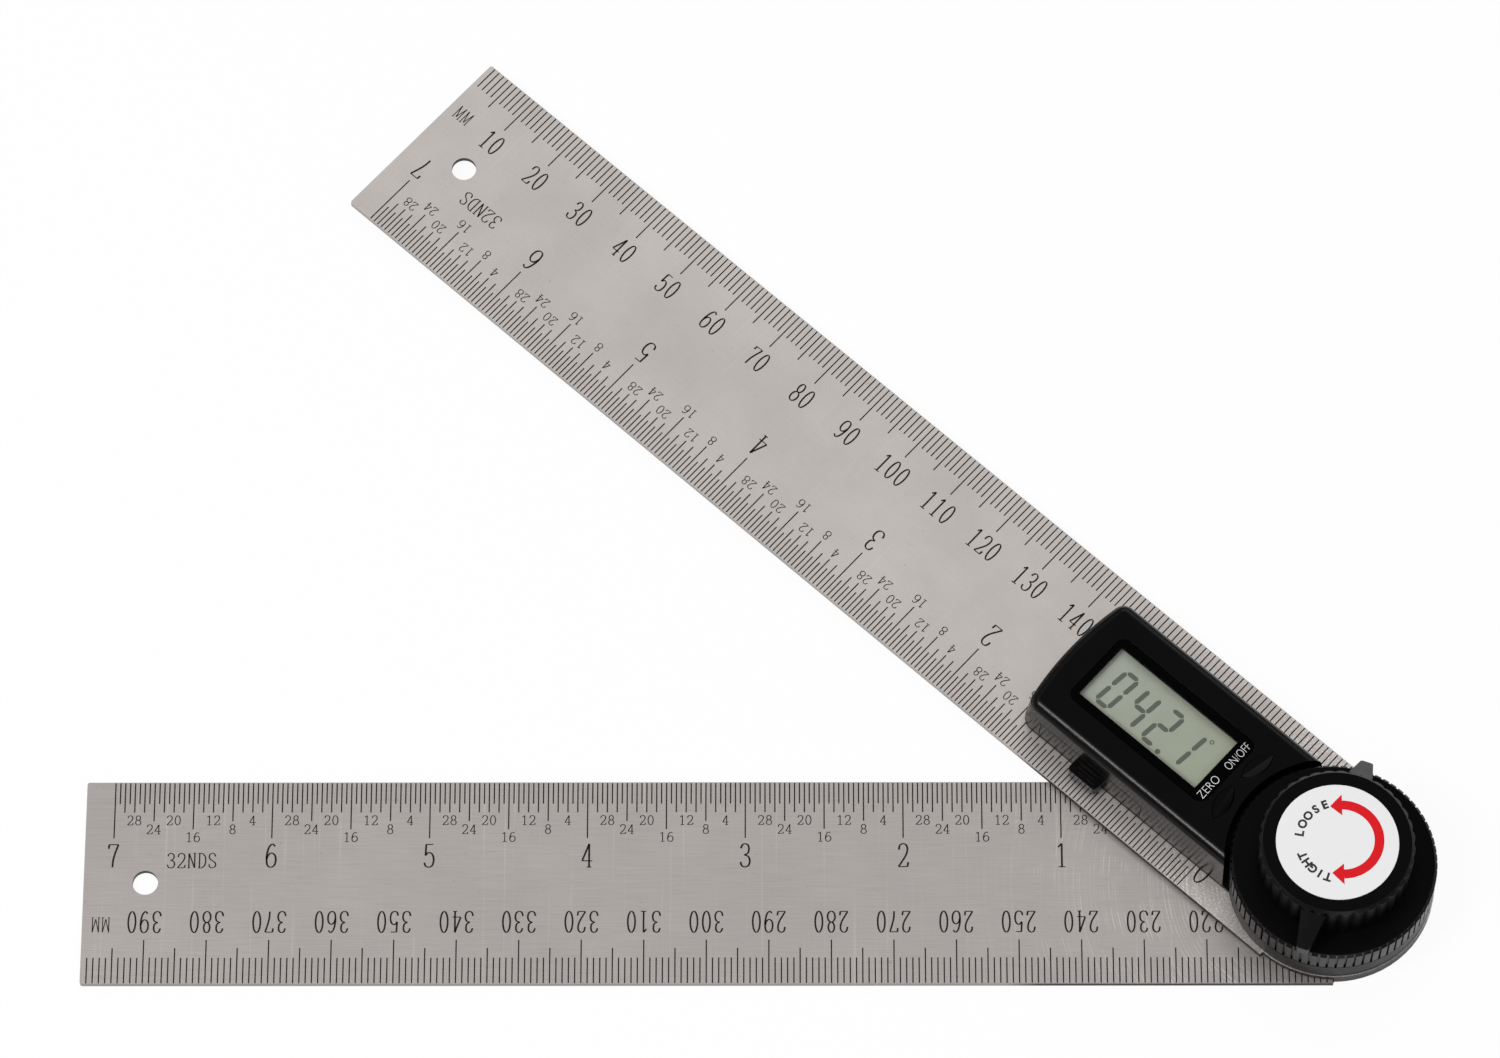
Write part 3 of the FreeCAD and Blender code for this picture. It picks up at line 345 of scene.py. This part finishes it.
def ink(name, color, roughness, specular=0.3, unevenness=0.25):
    """Print or etched mark whose tone wanders slightly."""
    surface = Surface(name, Specular_IOR_Level=specular)
    wander = surface.noise(surface.place, 1400, 3.0)
    lighter = tuple(c * (1 + unevenness) for c in color)
    surface.drive("Base Color", surface.colors(wander, color, lighter))
    surface.drive("Roughness", surface.ramp(wander, roughness - 0.05, roughness + 0.05))
    return surface.made


def sheet_film(name, color, roughness, specular=0.35):
    """Printed plastic film with a faint orange-peel gloss."""
    surface = Surface(name, Specular_IOR_Level=specular, Roughness=roughness)
    peel = surface.noise(surface.place, 700, 2.0)
    surface.drive("Base Color", surface.colors(peel, tuple(0.97 * c for c in color), color))
    surface.bump(peel, 0.00001, 0.3)
    return surface.made


def dress_nodes():
    """Gives every CAD node its material."""
    housing = black_moulding("housing_plastic", 0.0022, 0.22, (0.28, 0.2, 0.03), grain=0.0004,
                             depth=0.00003)
    tray = black_moulding("tray_plastic", 0.002, 0.4, (0.15, 0.15, 0.03))
    knob = black_moulding("knob_plastic", 0.0024, 0.34, (0.22, 0.2, 0.02))
    key = black_moulding("key_plastic", 0.0018, 0.2, (0.4, 0.2, 0.03))
    bare_steel = turned_metal("turned_steel", grey(0.5), 0.3)
    nylon = moulded("nylon", (0.7, 0.68, 0.62), 0.5, 0.4).made
    board = circuit_board("circuit_board")
    chip = moulded("chip_plastic", grey(0.02), 0.5, 0.4).made
    plated = turned_metal("plated_spring", (0.62, 0.58, 0.5), 0.25)
    wanted = {
        # Both rules are the same steel: the upper one's lighter tone is painted light, for how the
        # light falls on each rule.
        "lower_blade": rule_steel("lower_rule_steel", 0.0, 0.365, grain_depth=0.08,
                                  cloud_depth=0.04, scratch_light=1.12, fleck_glint=1.08),
        "upper_blade": rule_steel("upper_rule_steel", OPEN_ANGLE, 0.455, grain_depth=0.05,
                                  cloud_depth=0.07, scratch_light=1.04, fleck_glint=1.7),
        "grip_disc": knob,
        "knob_grip": knob,
        "knob_label": sheet_film("label_film", (0.83, 0.83, 0.84), 0.35),
        "knob_insert": turned_metal("insert_brass", (0.72, 0.55, 0.26), 0.3),
        "coin_cell": turned_metal("cell_steel", grey(0.62), 0.25),
        "lcd_panel": display_glass("display_glass"),
        "display_lens": clear_window("clear_window"),
        "zebra_strips": moulded("contact_rubber", (0.06, 0.06, 0.065), 0.6, 0.3).made,
        "positive_contact": plated,
        "negative_contact": plated,
    }
    wanted["housing_base"] = tray
    for name in ("housing_cover", "battery_tray"):
        wanted[name] = housing
    for name in ("zero_button", "power_button"):
        wanted[name] = key
    for name in ("pivot_hub", "pivot_stud", "hub_screws", "housing_screws", "thrust_washer",
                 "wave_washer"):
        wanted[name] = bare_steel
    for name in ("slip_washer", "friction_washer"):
        wanted[name] = nylon
    for name in ("rotor_board", "stator_board", "main_board"):
        wanted[name] = board
    for name in ("controller_chip", "board_connector", "tact_switches", "lcd_frame"):
        wanted[name] = chip
    for name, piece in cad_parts.items():
        piece.data.materials.clear()
        piece.data.materials.append(wanted[name])


# Flat marks and prints

class Print:
    """Flat polygons in millimetres, gathered and then made into one mesh."""

    def __init__(self):
        self.points = []
        self.faces = []

    def polygon(self, corners):
        """Adds one polygon, turned so that it faces up."""
        pairs = zip(corners, corners[1:] + corners[:1])
        doubled_area = sum(a[0] * b[1] - b[0] * a[1] for a, b in pairs)
        if doubled_area < 0:
            corners = corners[::-1]
        start = len(self.points)
        self.points += corners
        self.faces.append(range(start, start + len(corners)))

    def bar(self, x_low, x_high, y_low, y_high):
        self.polygon([(x_low, y_low), (x_high, y_low), (x_high, y_high), (x_low, y_high)])

    def piece(self, name, height, turn, surface, body, slot):
        """Makes the mesh at a height in millimetres and lets it ride on a body."""
        mesh = bpy.data.meshes.new(name)
        mesh.from_pydata([(x * MM, y * MM, height * MM) for x, y in self.points], [], self.faces)
        mesh.transform(turn)
        mesh.materials.append(surface)
        made = bpy.data.objects.new(name, mesh)
        bpy.context.scene.collection.objects.link(made)
        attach(made, body)
        return made


def placed(points, x, y, angle):
    """Points turned by an angle and then moved."""
    return [(x + px * cos(angle) - py * sin(angle), y + px * sin(angle) + py * cos(angle))
            for px, py in points]


# Strokes of the scale's numerals and letters, in a box one wide and one high.
# A stroke is a kind and its points: straight lines, a curve through the points, or an oval
# given by its centre and radii.
SIX = [("curve", [(0.84, 0.9), (0.6, 1.0), (0.3, 0.88), (0.12, 0.6), (0.08, 0.33), (0.18, 0.08),
                  (0.5, 0.0), (0.82, 0.1), (0.93, 0.32), (0.82, 0.53), (0.5, 0.61), (0.2, 0.5),
                  (0.09, 0.34)])]
STROKES = {
    "0": [("oval", [(0.5, 0.5), (0.41, 0.5)])],
    "1": [("line", [(0.2, 0.84), (0.54, 1.0), (0.54, 0.0)]), ("line", [(0.22, 0.0), (0.86, 0.0)])],
    "2": [("curve", [(0.1, 0.74), (0.2, 0.93), (0.5, 1.0), (0.8, 0.92), (0.88, 0.74), (0.74, 0.5),
                     (0.42, 0.26), (0.06, 0.01)]),
          ("line", [(0.06, 0.01), (0.88, 0.01), (0.95, 0.2)])],
    "3": [("curve", [(0.1, 0.8), (0.24, 0.95), (0.5, 1.0), (0.77, 0.93), (0.84, 0.76), (0.73, 0.59),
                     (0.4, 0.52)]),
          ("curve", [(0.4, 0.52), (0.78, 0.45), (0.92, 0.26), (0.8, 0.07), (0.48, 0.0),
                     (0.18, 0.06), (0.07, 0.22)])],
    "4": [("line", [(0.68, 0.0), (0.68, 1.0), (0.04, 0.27), (0.98, 0.27)]),
          ("line", [(0.46, 0.0), (0.9, 0.0)])],
    "5": [("line", [(0.86, 0.98), (0.22, 0.98), (0.16, 0.5)]),
          ("curve", [(0.16, 0.5), (0.45, 0.63), (0.79, 0.55), (0.92, 0.32), (0.8, 0.08),
                     (0.48, 0.0), (0.18, 0.05), (0.07, 0.2)])],
    "6": SIX,
    "7": [("line", [(0.06, 0.8), (0.1, 0.98), (0.94, 0.98)]),
          ("curve", [(0.94, 0.98), (0.66, 0.6), (0.5, 0.3), (0.46, 0.0)])],
    "8": [("oval", [(0.5, 0.76), (0.34, 0.24)]), ("oval", [(0.5, 0.26), (0.42, 0.26)])],
    "9": [(kind, [(1 - x, 1 - y) for x, y in points]) for kind, points in SIX],
    "M": [("line", [(0.14, 0.0), (0.14, 1.0), (0.5, 0.1), (0.86, 1.0), (0.86, 0.0)]),
          ("line", [(0.0, 0.0), (0.3, 0.0)]), ("line", [(0.7, 0.0), (1.0, 0.0)])],
    "N": [("line", [(0.17, 0.0), (0.17, 1.0), (0.85, 0.0), (0.85, 1.0)]),
          ("line", [(0.02, 0.0), (0.34, 0.0)]), ("line", [(0.68, 1.0), (1.0, 1.0)])],
    "D": [("line", [(0.2, 0.0), (0.2, 1.0)]),
          ("curve", [(0.04, 1.0), (0.5, 0.99), (0.84, 0.8), (0.93, 0.5), (0.84, 0.2),
                     (0.5, 0.01), (0.04, 0.0)])],
    "S": [("curve", [(0.85, 0.78), (0.74, 0.95), (0.48, 1.0), (0.2, 0.93), (0.12, 0.76),
                     (0.26, 0.58), (0.62, 0.45), (0.87, 0.3), (0.86, 0.11), (0.5, 0.0),
                     (0.2, 0.06), (0.1, 0.25)])],
}
CURVE_STEPS = 5
OVAL_STEPS = 28


def curve_through(points):
    """Smooth line through points, with a few steps between each pair."""
    ends = [points[0]] + points + [points[-1]]
    line = []
    for number in range(1, len(ends) - 2):
        a, b, c, d = ends[number - 1:number + 3]
        for step in range(CURVE_STEPS):
            t = step / CURVE_STEPS
            line.append(tuple(
                b[k] + t * (c[k] - a[k]) / 2
                + t * t * (2 * a[k] - 5 * b[k] + 4 * c[k] - d[k]) / 2
                + t ** 3 * (3 * b[k] - a[k] - 3 * c[k] + d[k]) / 2
                for k in range(2)))
    return line + [points[-1]]


def oval(centre, radii):
    """Closed oval as a line whose last point is its first."""
    turns = [2 * pi * number / OVAL_STEPS for number in range(OVAL_STEPS + 1)]
    return [(centre[0] + radii[0] * cos(turn), centre[1] + radii[1] * sin(turn)) for turn in turns]


def pen_line(points, thin, thick):
    """Quads along a line drawn by a pen that is broad on upright strokes and fine on level ones."""
    rims = []
    last = len(points) - 1
    closed = hypot(points[0][0] - points[last][0], points[0][1] - points[last][1]) < 1e-6
    for number, (x, y) in enumerate(points):
        before = points[number - 1] if number else points[last - 1 if closed else 0]
        after = points[number + 1] if number < last else points[1 if closed else last]
        dx, dy = after[0] - before[0], after[1] - before[1]
        length = hypot(dx, dy) or 1.0
        half = (thin + (thick - thin) * abs(dy / length)) / 2
        rims.append(((x - dy / length * half, y + dx / length * half),
                     (x + dy / length * half, y - dx / length * half)))
    return [[a[0], b[0], b[1], a[1]] for a, b in zip(rims, rims[1:])]


def stroke_quads(kind, points, width, height, thin, thick):
    """Quads of one stroke, centred on its letter's box."""
    if kind == "oval":
        lines = [oval(*points)]
    elif kind == "curve":
        lines = [curve_through(points)]
    else:
        lines = [list(pair) for pair in zip(points, points[1:])]
    quads = []
    for line in lines:
        scaled = [((x - 0.5) * width, (y - 0.5) * height) for x, y in line]
        quads += pen_line(scaled, thin, thick)
    return quads


def write(sheet, words, x, y, angle, height, width, advance, pen=1.0):
    """Writes numerals in the scale's own hand, centred on a point."""
    thick = pen * (0.07 + 0.062 * height)
    thin = pen * (0.065 + 0.026 * height)
    for number, letter in enumerate(words):
        shift = (number - (len(words) - 1) / 2) * advance
        for kind, points in STROKES[letter]:
            for quad in stroke_quads(kind, points, width, height, thin, thick):
                moved = [(px + shift, py) for px, py in quad]
                sheet.polygon(placed(moved, x, y, angle))


INCH = 25.4
TICK_WIDTH = 0.21
TICK_START = 0.12
MM_TICKS = {10: 7.5, 5: 6.1, 1: 4.45}
MM_ROW = 6.75
INCH_TICKS = {32: 9.65, 16: 8.1, 8: 6.7, 2: 5.2, 1: 3.7}
INCH_ROW = 4.65
PART_ROWS = {16: 7.85, 8: 9.2, 4: 10.75}
INCH_ZERO = -17.6
INCHES = 7


def tick(sheet, x, side, length):
    """One line from a rule's edge; side is 1 for the +Y edge and -1 for the -Y edge."""
    edge = side * RULE_HALF_WIDTH
    outer, inner = edge - side * TICK_START, edge - side * length
    sheet.bar(x - TICK_WIDTH / 2, x + TICK_WIDTH / 2, min(outer, inner), max(outer, inner))


def by_division(values, number):
    """Value for the coarsest division that a mark falls on."""
    return next(value for step, value in values.items() if number % step == 0)


def millimetre_scale(sheet, side, reads_toward_pivot, first_value):
    """Millimetre marks and tens along one edge."""
    angle = 0 if side > 0 else pi
    for number in range(1, RULE_LENGTH + 1):
        tick(sheet, number - RULE_LENGTH, side, by_division(MM_TICKS, number))
    for ten in range(10, RULE_LENGTH - 9, 10):
        value = ten if reads_toward_pivot else first_value - ten
        write(sheet, str(value), ten - RULE_LENGTH, side * MM_ROW, angle, 3.6, 1.42, 2.0)
    write(sheet, "MM", -197.0, side * 7.25, angle, 2.5, 1.4, 1.62, 0.7)


def inch_scale(sheet, side):
    """Inch marks in thirty-seconds, with every fourth one numbered."""
    angle = 0 if side > 0 else pi
    for number in range(INCHES * 32 + 1):
        tick(sheet, INCH_ZERO - number * INCH / 32, side, by_division(INCH_TICKS, number))
    for inch in range(1, INCHES + 1):
        write(sheet, str(inch), INCH_ZERO - inch * INCH, side * INCH_ROW, angle, 4.0, 1.75, 1.75)
        for part in range(4, 32, 4):
            x = INCH_ZERO - (inch - 1 + part / 32) * INCH
            y = side * by_division(PART_ROWS, part)
            write(sheet, str(part), x, y, angle, 1.6, 1.0, 1.28)
    write(sheet, "0", INCH_ZERO + 1.75, side * 12.85, angle, 4.0, 2.0, 2.0)
    write(sheet, "32NDS", -182.75, side * 3.8, angle, 2.5, 1.35, 1.66)


def scale_marks():
    """Etched scales of both rules, each riding on its own arm."""
    etching = ink("etched_mark", (0.014, 0.012, 0.011), 0.6, 0.1)
    lower = Print()
    millimetre_scale(lower, -1, False, 2 * RULE_LENGTH)
    inch_scale(lower, 1)
    lower.piece("lower_scale", top_of("lower_blade") + PRINT_LIFT, LOWER_ARM, etching,
                "lower_arm", "stainless_rule")
    upper = Print()
    millimetre_scale(upper, 1, True, 0)
    inch_scale(upper, -1)
    upper.piece("upper_scale", top_of("upper_blade") + PRINT_LIFT, UPPER_ARM, etching,
                "upper_arm", "stainless_rule")


# Display

WINDOW_X = (-49.25, -24.65)
WINDOW_HALF_WIDTH = 5.35
LENS_X = (-50.3, -22.0)
LENS_HALF_WIDTH = 6.85
LENS_CORNER = 1.5
DIGIT_PITCH = 4.85
DIGIT_WIDTH = 3.25
DIGIT_TOP = 3.42
DIGIT_FOOT = -4.34
DIGIT_SLANT = 0.1
SEGMENT = 0.8
SEGMENT_GAP = 0.1
FIRST_DIGIT = -47.25
SEGMENTS_LIT = {"0": "abcdef", "4": "bcfg", "2": "abdeg", "1": "bc"}


def round_corner_outline(x_low, x_high, half_width, radius, steps=8):
    """Corners of a rounded rectangle, the same number for any radius."""
    line = []
    for quarter, (x, y) in enumerate([(x_high - radius, half_width - radius),
                                      (x_low + radius, half_width - radius),
                                      (x_low + radius, radius - half_width),
                                      (x_high - radius, radius - half_width)]):
        for step in range(steps + 1):
            turn = (quarter + step / steps) * pi / 2
            line.append((x + radius * cos(turn), y + radius * sin(turn)))
    return line


def lens_border():
    """Black film printed around the window."""
    film = sheet_film("border_film", grey(0.0014), 0.2, 0.005)
    outer = round_corner_outline(*LENS_X, LENS_HALF_WIDTH, LENS_CORNER)
    inner = round_corner_outline(*WINDOW_X, WINDOW_HALF_WIDTH, 0.12)
    sheet = Print()
    for number in range(len(outer)):
        after = (number + 1) % len(outer)
        sheet.polygon([outer[number], outer[after], inner[after], inner[number]])
    sheet.piece("lens_border", top_of("display_lens") + PRINT_LIFT, UPPER_ARM, film,
                "upper_arm", "housing_black")


def segment_shapes():
    """Six-cornered bars of one digit, named as usual from a to g, with its foot at the origin."""
    height = DIGIT_TOP - DIGIT_FOOT
    half = SEGMENT / 2
    left, right = half, DIGIT_WIDTH - half
    foot, middle, top = half, height / 2, height - half

    def level(y):
        a, b = left + SEGMENT_GAP, right - SEGMENT_GAP
        return [(a, y), (a + half, y + half), (b - half, y + half), (b, y), (b - half, y - half),
                (a + half, y - half)]

    def upright(x, low, high):
        a, b = low + SEGMENT_GAP, high - SEGMENT_GAP
        return [(x, a), (x + half, a + half), (x + half, b - half), (x, b), (x - half, b - half),
                (x - half, a + half)]

    return {
        "a": level(top), "d": level(foot), "g": level(middle),
        "f": upright(left, middle, top), "b": upright(right, middle, top),
        "e": upright(left, foot, middle), "c": upright(right, foot, middle),
    }


def reading_segments():
    """Digits of the shown angle with its point and degree sign."""
    sheet = Print()
    shapes = segment_shapes()

    def slanted(points, start):
        return [(start + x + DIGIT_SLANT * y, DIGIT_FOOT + y) for x, y in points]

    for number, digit in enumerate("0421"):
        start = FIRST_DIGIT + number * DIGIT_PITCH
        for name in SEGMENTS_LIT[digit]:
            sheet.polygon(slanted(shapes[name], start))
    point = oval((-33.45, -4.15), (0.46, 0.46))
    sheet.polygon(point[:-1])
    degree = oval((-28.0, 2.9), (0.3, 0.3))
    for quad in pen_line(degree, 0.18, 0.18):
        sheet.polygon(quad)
    return sheet


def display():
    """Reading on the display glass and the border of the window over it."""
    dark = ink("display_segment", (0.11, 0.118, 0.1), 0.4, 0.2, 0.08)
    reading_segments().piece("display_reading", top_of("lcd_panel") + PRINT_LIFT, UPPER_ARM, dark,
                             "upper_arm", "display_glass")
    lens_border()


# Lettering in the plain built-in face

def letter_polygons(words, weight=0.0):
    """Polygons of words, centred, with a height of one, and their length at that height."""
    curve = bpy.data.curves.new("lettering", "FONT")
    curve.body = words
    curve.offset = weight
    curve.resolution_u = 6
    maker = bpy.data.objects.new("lettering", curve)
    bpy.context.scene.collection.objects.link(maker)
    bpy.context.view_layer.update()
    seen = maker.evaluated_get(bpy.context.evaluated_depsgraph_get())
    mesh = bpy.data.meshes.new_from_object(seen)
    low_x = min(v.co.x for v in mesh.vertices)
    high_x = max(v.co.x for v in mesh.vertices)
    low_y = min(v.co.y for v in mesh.vertices)
    high_y = max(v.co.y for v in mesh.vertices)
    height = high_y - low_y
    shapes = [[((mesh.vertices[i].co.x - (low_x + high_x) / 2) / height,
                (mesh.vertices[i].co.y - (low_y + high_y) / 2) / height)
               for i in face.vertices] for face in mesh.polygons]
    bpy.data.objects.remove(maker)
    bpy.data.curves.remove(curve)
    bpy.data.meshes.remove(mesh)
    return shapes, (high_x - low_x) / height


def letter(sheet, words, x, y, angle, height, length=None, weight=0.0):
    """Adds words centred on a point, at a given height and, if wanted, a given length."""
    shapes, natural = letter_polygons(words, weight)
    stretch = length / (natural * height) if length else 1.0
    for shape in shapes:
        scaled = [(px * height * stretch, py * height) for px, py in shape]
        sheet.polygon(placed(scaled, x, y, angle))


KEY_NAME_X = -23.1
KEY_NAME_HEIGHT = 1.4
KEY_NAME_WEIGHT = -0.024


def key_names():
    """White names of the two keys, read along the end of the window."""
    sheet = Print()
    for words, y, length in (("ZERO", -3.75, 4.4), ("ON/OFF", 3.35, 5.4)):
        letter(sheet, words, KEY_NAME_X, y, pi / 2, KEY_NAME_HEIGHT, length, KEY_NAME_WEIGHT)
    white = ink("key_name_print", (0.85, 0.85, 0.85), 0.4, 0.3, 0.05)
    sheet.piece("key_names", top_of("display_lens") + 2 * PRINT_LIFT, UPPER_ARM, white,
                "upper_arm", "label_print")


# Label of the locking knob

ARROW_CENTRE = (0.8, 0.45)
ARROW_RADII = (5.1, 6.63)
ARROW_END = radians(89)
HEAD_LENGTH = 1.9
HEAD_WIDTH = 3.55
WORD_CENTRE = (0.4, 0.25)
WORD_RADIUS = 6.5
WORD_HEIGHT = 1.48
WORD_WEIGHT = 0.045
ARROW_STEPS = 40


def turn_arrow():
    """Half ring with a head at each end, both pointing to the words' side."""
    sheet = Print()
    inner, outer = ARROW_RADII
    x, y = ARROW_CENTRE
    turns = [ARROW_END * (2 * step / ARROW_STEPS - 1) for step in range(ARROW_STEPS + 1)]
    for a, b in zip(turns, turns[1:]):
        corners = ((inner, a), (outer, a), (outer, b), (inner, b))
        sheet.polygon([(x + radius * cos(turn), y + radius * sin(turn)) for radius, turn in corners])
    middle = (inner + outer) / 2
    for side in (1, -1):
        end_x = x + middle * cos(ARROW_END)
        end_y = y + side * middle * sin(ARROW_END)
        sheet.polygon([(end_x, end_y + HEAD_WIDTH / 2), (end_x, end_y - HEAD_WIDTH / 2),
                       (end_x - HEAD_LENGTH, end_y - side * 0.2)])
    return sheet


def knob_words():
    """The two words on an arc, their tops outward."""
    sheet = Print()
    for words, first, step in (("LOOSE", 168.6, -14.7), ("TIGHT", -109.0, -12.0)):
        for number, character in enumerate(words):
            angle = radians(first + number * step)
            x = WORD_CENTRE[0] + WORD_RADIUS * cos(angle)
            y = WORD_CENTRE[1] + WORD_RADIUS * sin(angle)
            letter(sheet, character, x, y, angle - pi / 2, WORD_HEIGHT, None, WORD_WEIGHT)
    return sheet


def label():
    """Arrow and words printed on the knob's round label."""
    height = top_of("knob_label") + PRINT_LIFT
    red = ink("label_red", (0.68, 0.008, 0.014), 0.4, 0.1, 0.05)
    dark = ink("label_dark", (0.03, 0.03, 0.032), 0.4, 0.15, 0.1)
    turn_arrow().piece("turn_arrow", height, LOWER_ARM, red, "lock_knob", "label_print")
    knob_words().piece("knob_words", height, LOWER_ARM, dark, "lock_knob", "label_print")


# Studio

WHITE_ON_FLOOR = 0.93
FLOOR_TONE = (0.9, 0.9, 0.9, 1)
FLOOR_HALF = 3.0
FLOOR_HEIGHT = -0.0002
HORIZON_LIGHT = 0.2
CEILING_LIGHT = 0.95
CEILING_FROM = 0.58
CEILING_FULL = 0.82
LAMP_TARGET = Vector((-0.07, 0.04, 0.0))


def seen(tree):
    """One for what is looked at, also in a mirror or through glass, and nought for stray light."""
    path = tree.nodes.new("ShaderNodeLightPath")
    total = path.outputs["Is Camera Ray"]
    for way in ("Is Glossy Ray", "Is Transmission Ray"):
        either = tree.nodes.new("ShaderNodeMath")
        either.operation = "MAXIMUM"
        tree.links.new(total, either.inputs[0])
        tree.links.new(path.outputs[way], either.inputs[1])
        total = either.outputs[0]
    return total


def floor():
    """White table top that keeps a faint shadow."""
    mesh = bpy.data.meshes.new("floor")
    corners = [(FLOOR_HALF * x, FLOOR_HALF * y, FLOOR_HEIGHT)
               for x, y in ((-1, -1), (1, -1), (1, 1), (-1, 1))]
    mesh.from_pydata(corners, [], [(0, 1, 2, 3)])
    surface = bpy.data.materials.new("floor_white")
    surface.use_nodes = True
    tree = surface.node_tree
    shader = tree.nodes["Principled BSDF"]
    shader.inputs["Base Color"].default_value = FLOOR_TONE
    shader.inputs["Roughness"].default_value = 0.9
    share = tree.nodes.new("ShaderNodeMath")
    share.operation = "MULTIPLY"
    share.inputs[1].default_value = WHITE_ON_FLOOR
    tree.links.new(seen(tree), share.inputs[0])
    white = tree.nodes.new("ShaderNodeEmission")
    white.inputs["Color"].default_value = (1, 1, 1, 1)
    white.inputs["Strength"].default_value = 1.0
    mix = tree.nodes.new("ShaderNodeMixShader")
    tree.links.new(share.outputs[0], mix.inputs[0])
    tree.links.new(shader.outputs[0], mix.inputs[1])
    tree.links.new(white.outputs[0], mix.inputs[2])
    tree.links.new(mix.outputs[0], tree.nodes["Material Output"].inputs["Surface"])
    mesh.materials.append(surface)
    table = bpy.data.objects.new("floor", mesh)
    bpy.context.scene.collection.objects.link(table)


def softbox(name, place, size, power):
    """Square lamp aimed at the middle of the object."""
    data = bpy.data.lights.new(name, "AREA")
    data.size = size
    data.energy = power
    lamp = bpy.data.objects.new(name, data)
    aim = (LAMP_TARGET - Vector(place)).to_track_quat("-Z", "Y")
    lamp.matrix_world = Matrix.Translation(place) @ aim.to_matrix().to_4x4()
    bpy.context.scene.collection.objects.link(lamp)


def surroundings():
    """Bright ceiling over a dim horizon."""
    world = bpy.data.worlds.new("studio")
    world.use_nodes = True
    tree = world.node_tree
    sky = tree.nodes["Background"]
    sky.inputs["Color"].default_value = (1, 1, 1, 1)
    direction = tree.nodes.new("ShaderNodeTexCoord")
    parts = tree.nodes.new("ShaderNodeSeparateXYZ")
    tree.links.new(direction.outputs["Generated"], parts.inputs[0])
    light = tree.nodes.new("ShaderNodeMapRange")
    tree.links.new(parts.outputs["Z"], light.inputs["Value"])
    for socket, value in (("From Min", CEILING_FROM), ("From Max", CEILING_FULL),
                          ("To Min", HORIZON_LIGHT), ("To Max", CEILING_LIGHT)):
        light.inputs[socket].default_value = value
    tree.links.new(light.outputs["Result"], sky.inputs["Strength"])
    bpy.context.scene.world = world


def studio():
    """Ceiling light, a broad softbox behind and two smaller ones for the edges."""
    surroundings()
    softbox("back_softbox", (0.25, 1.5, 1.3), 1.1, 6)
    softbox("left_softbox", (-0.75, -0.29, 1.07), 0.4, 6.5)
    softbox("front_softbox", (0.2, -1.3, 0.6), 0.5, 2)
    bpy.context.scene.view_settings.view_transform = "Standard"


photo_camera()
dress_nodes()
scale_marks()
display()
key_names()
label()
floor()
studio()
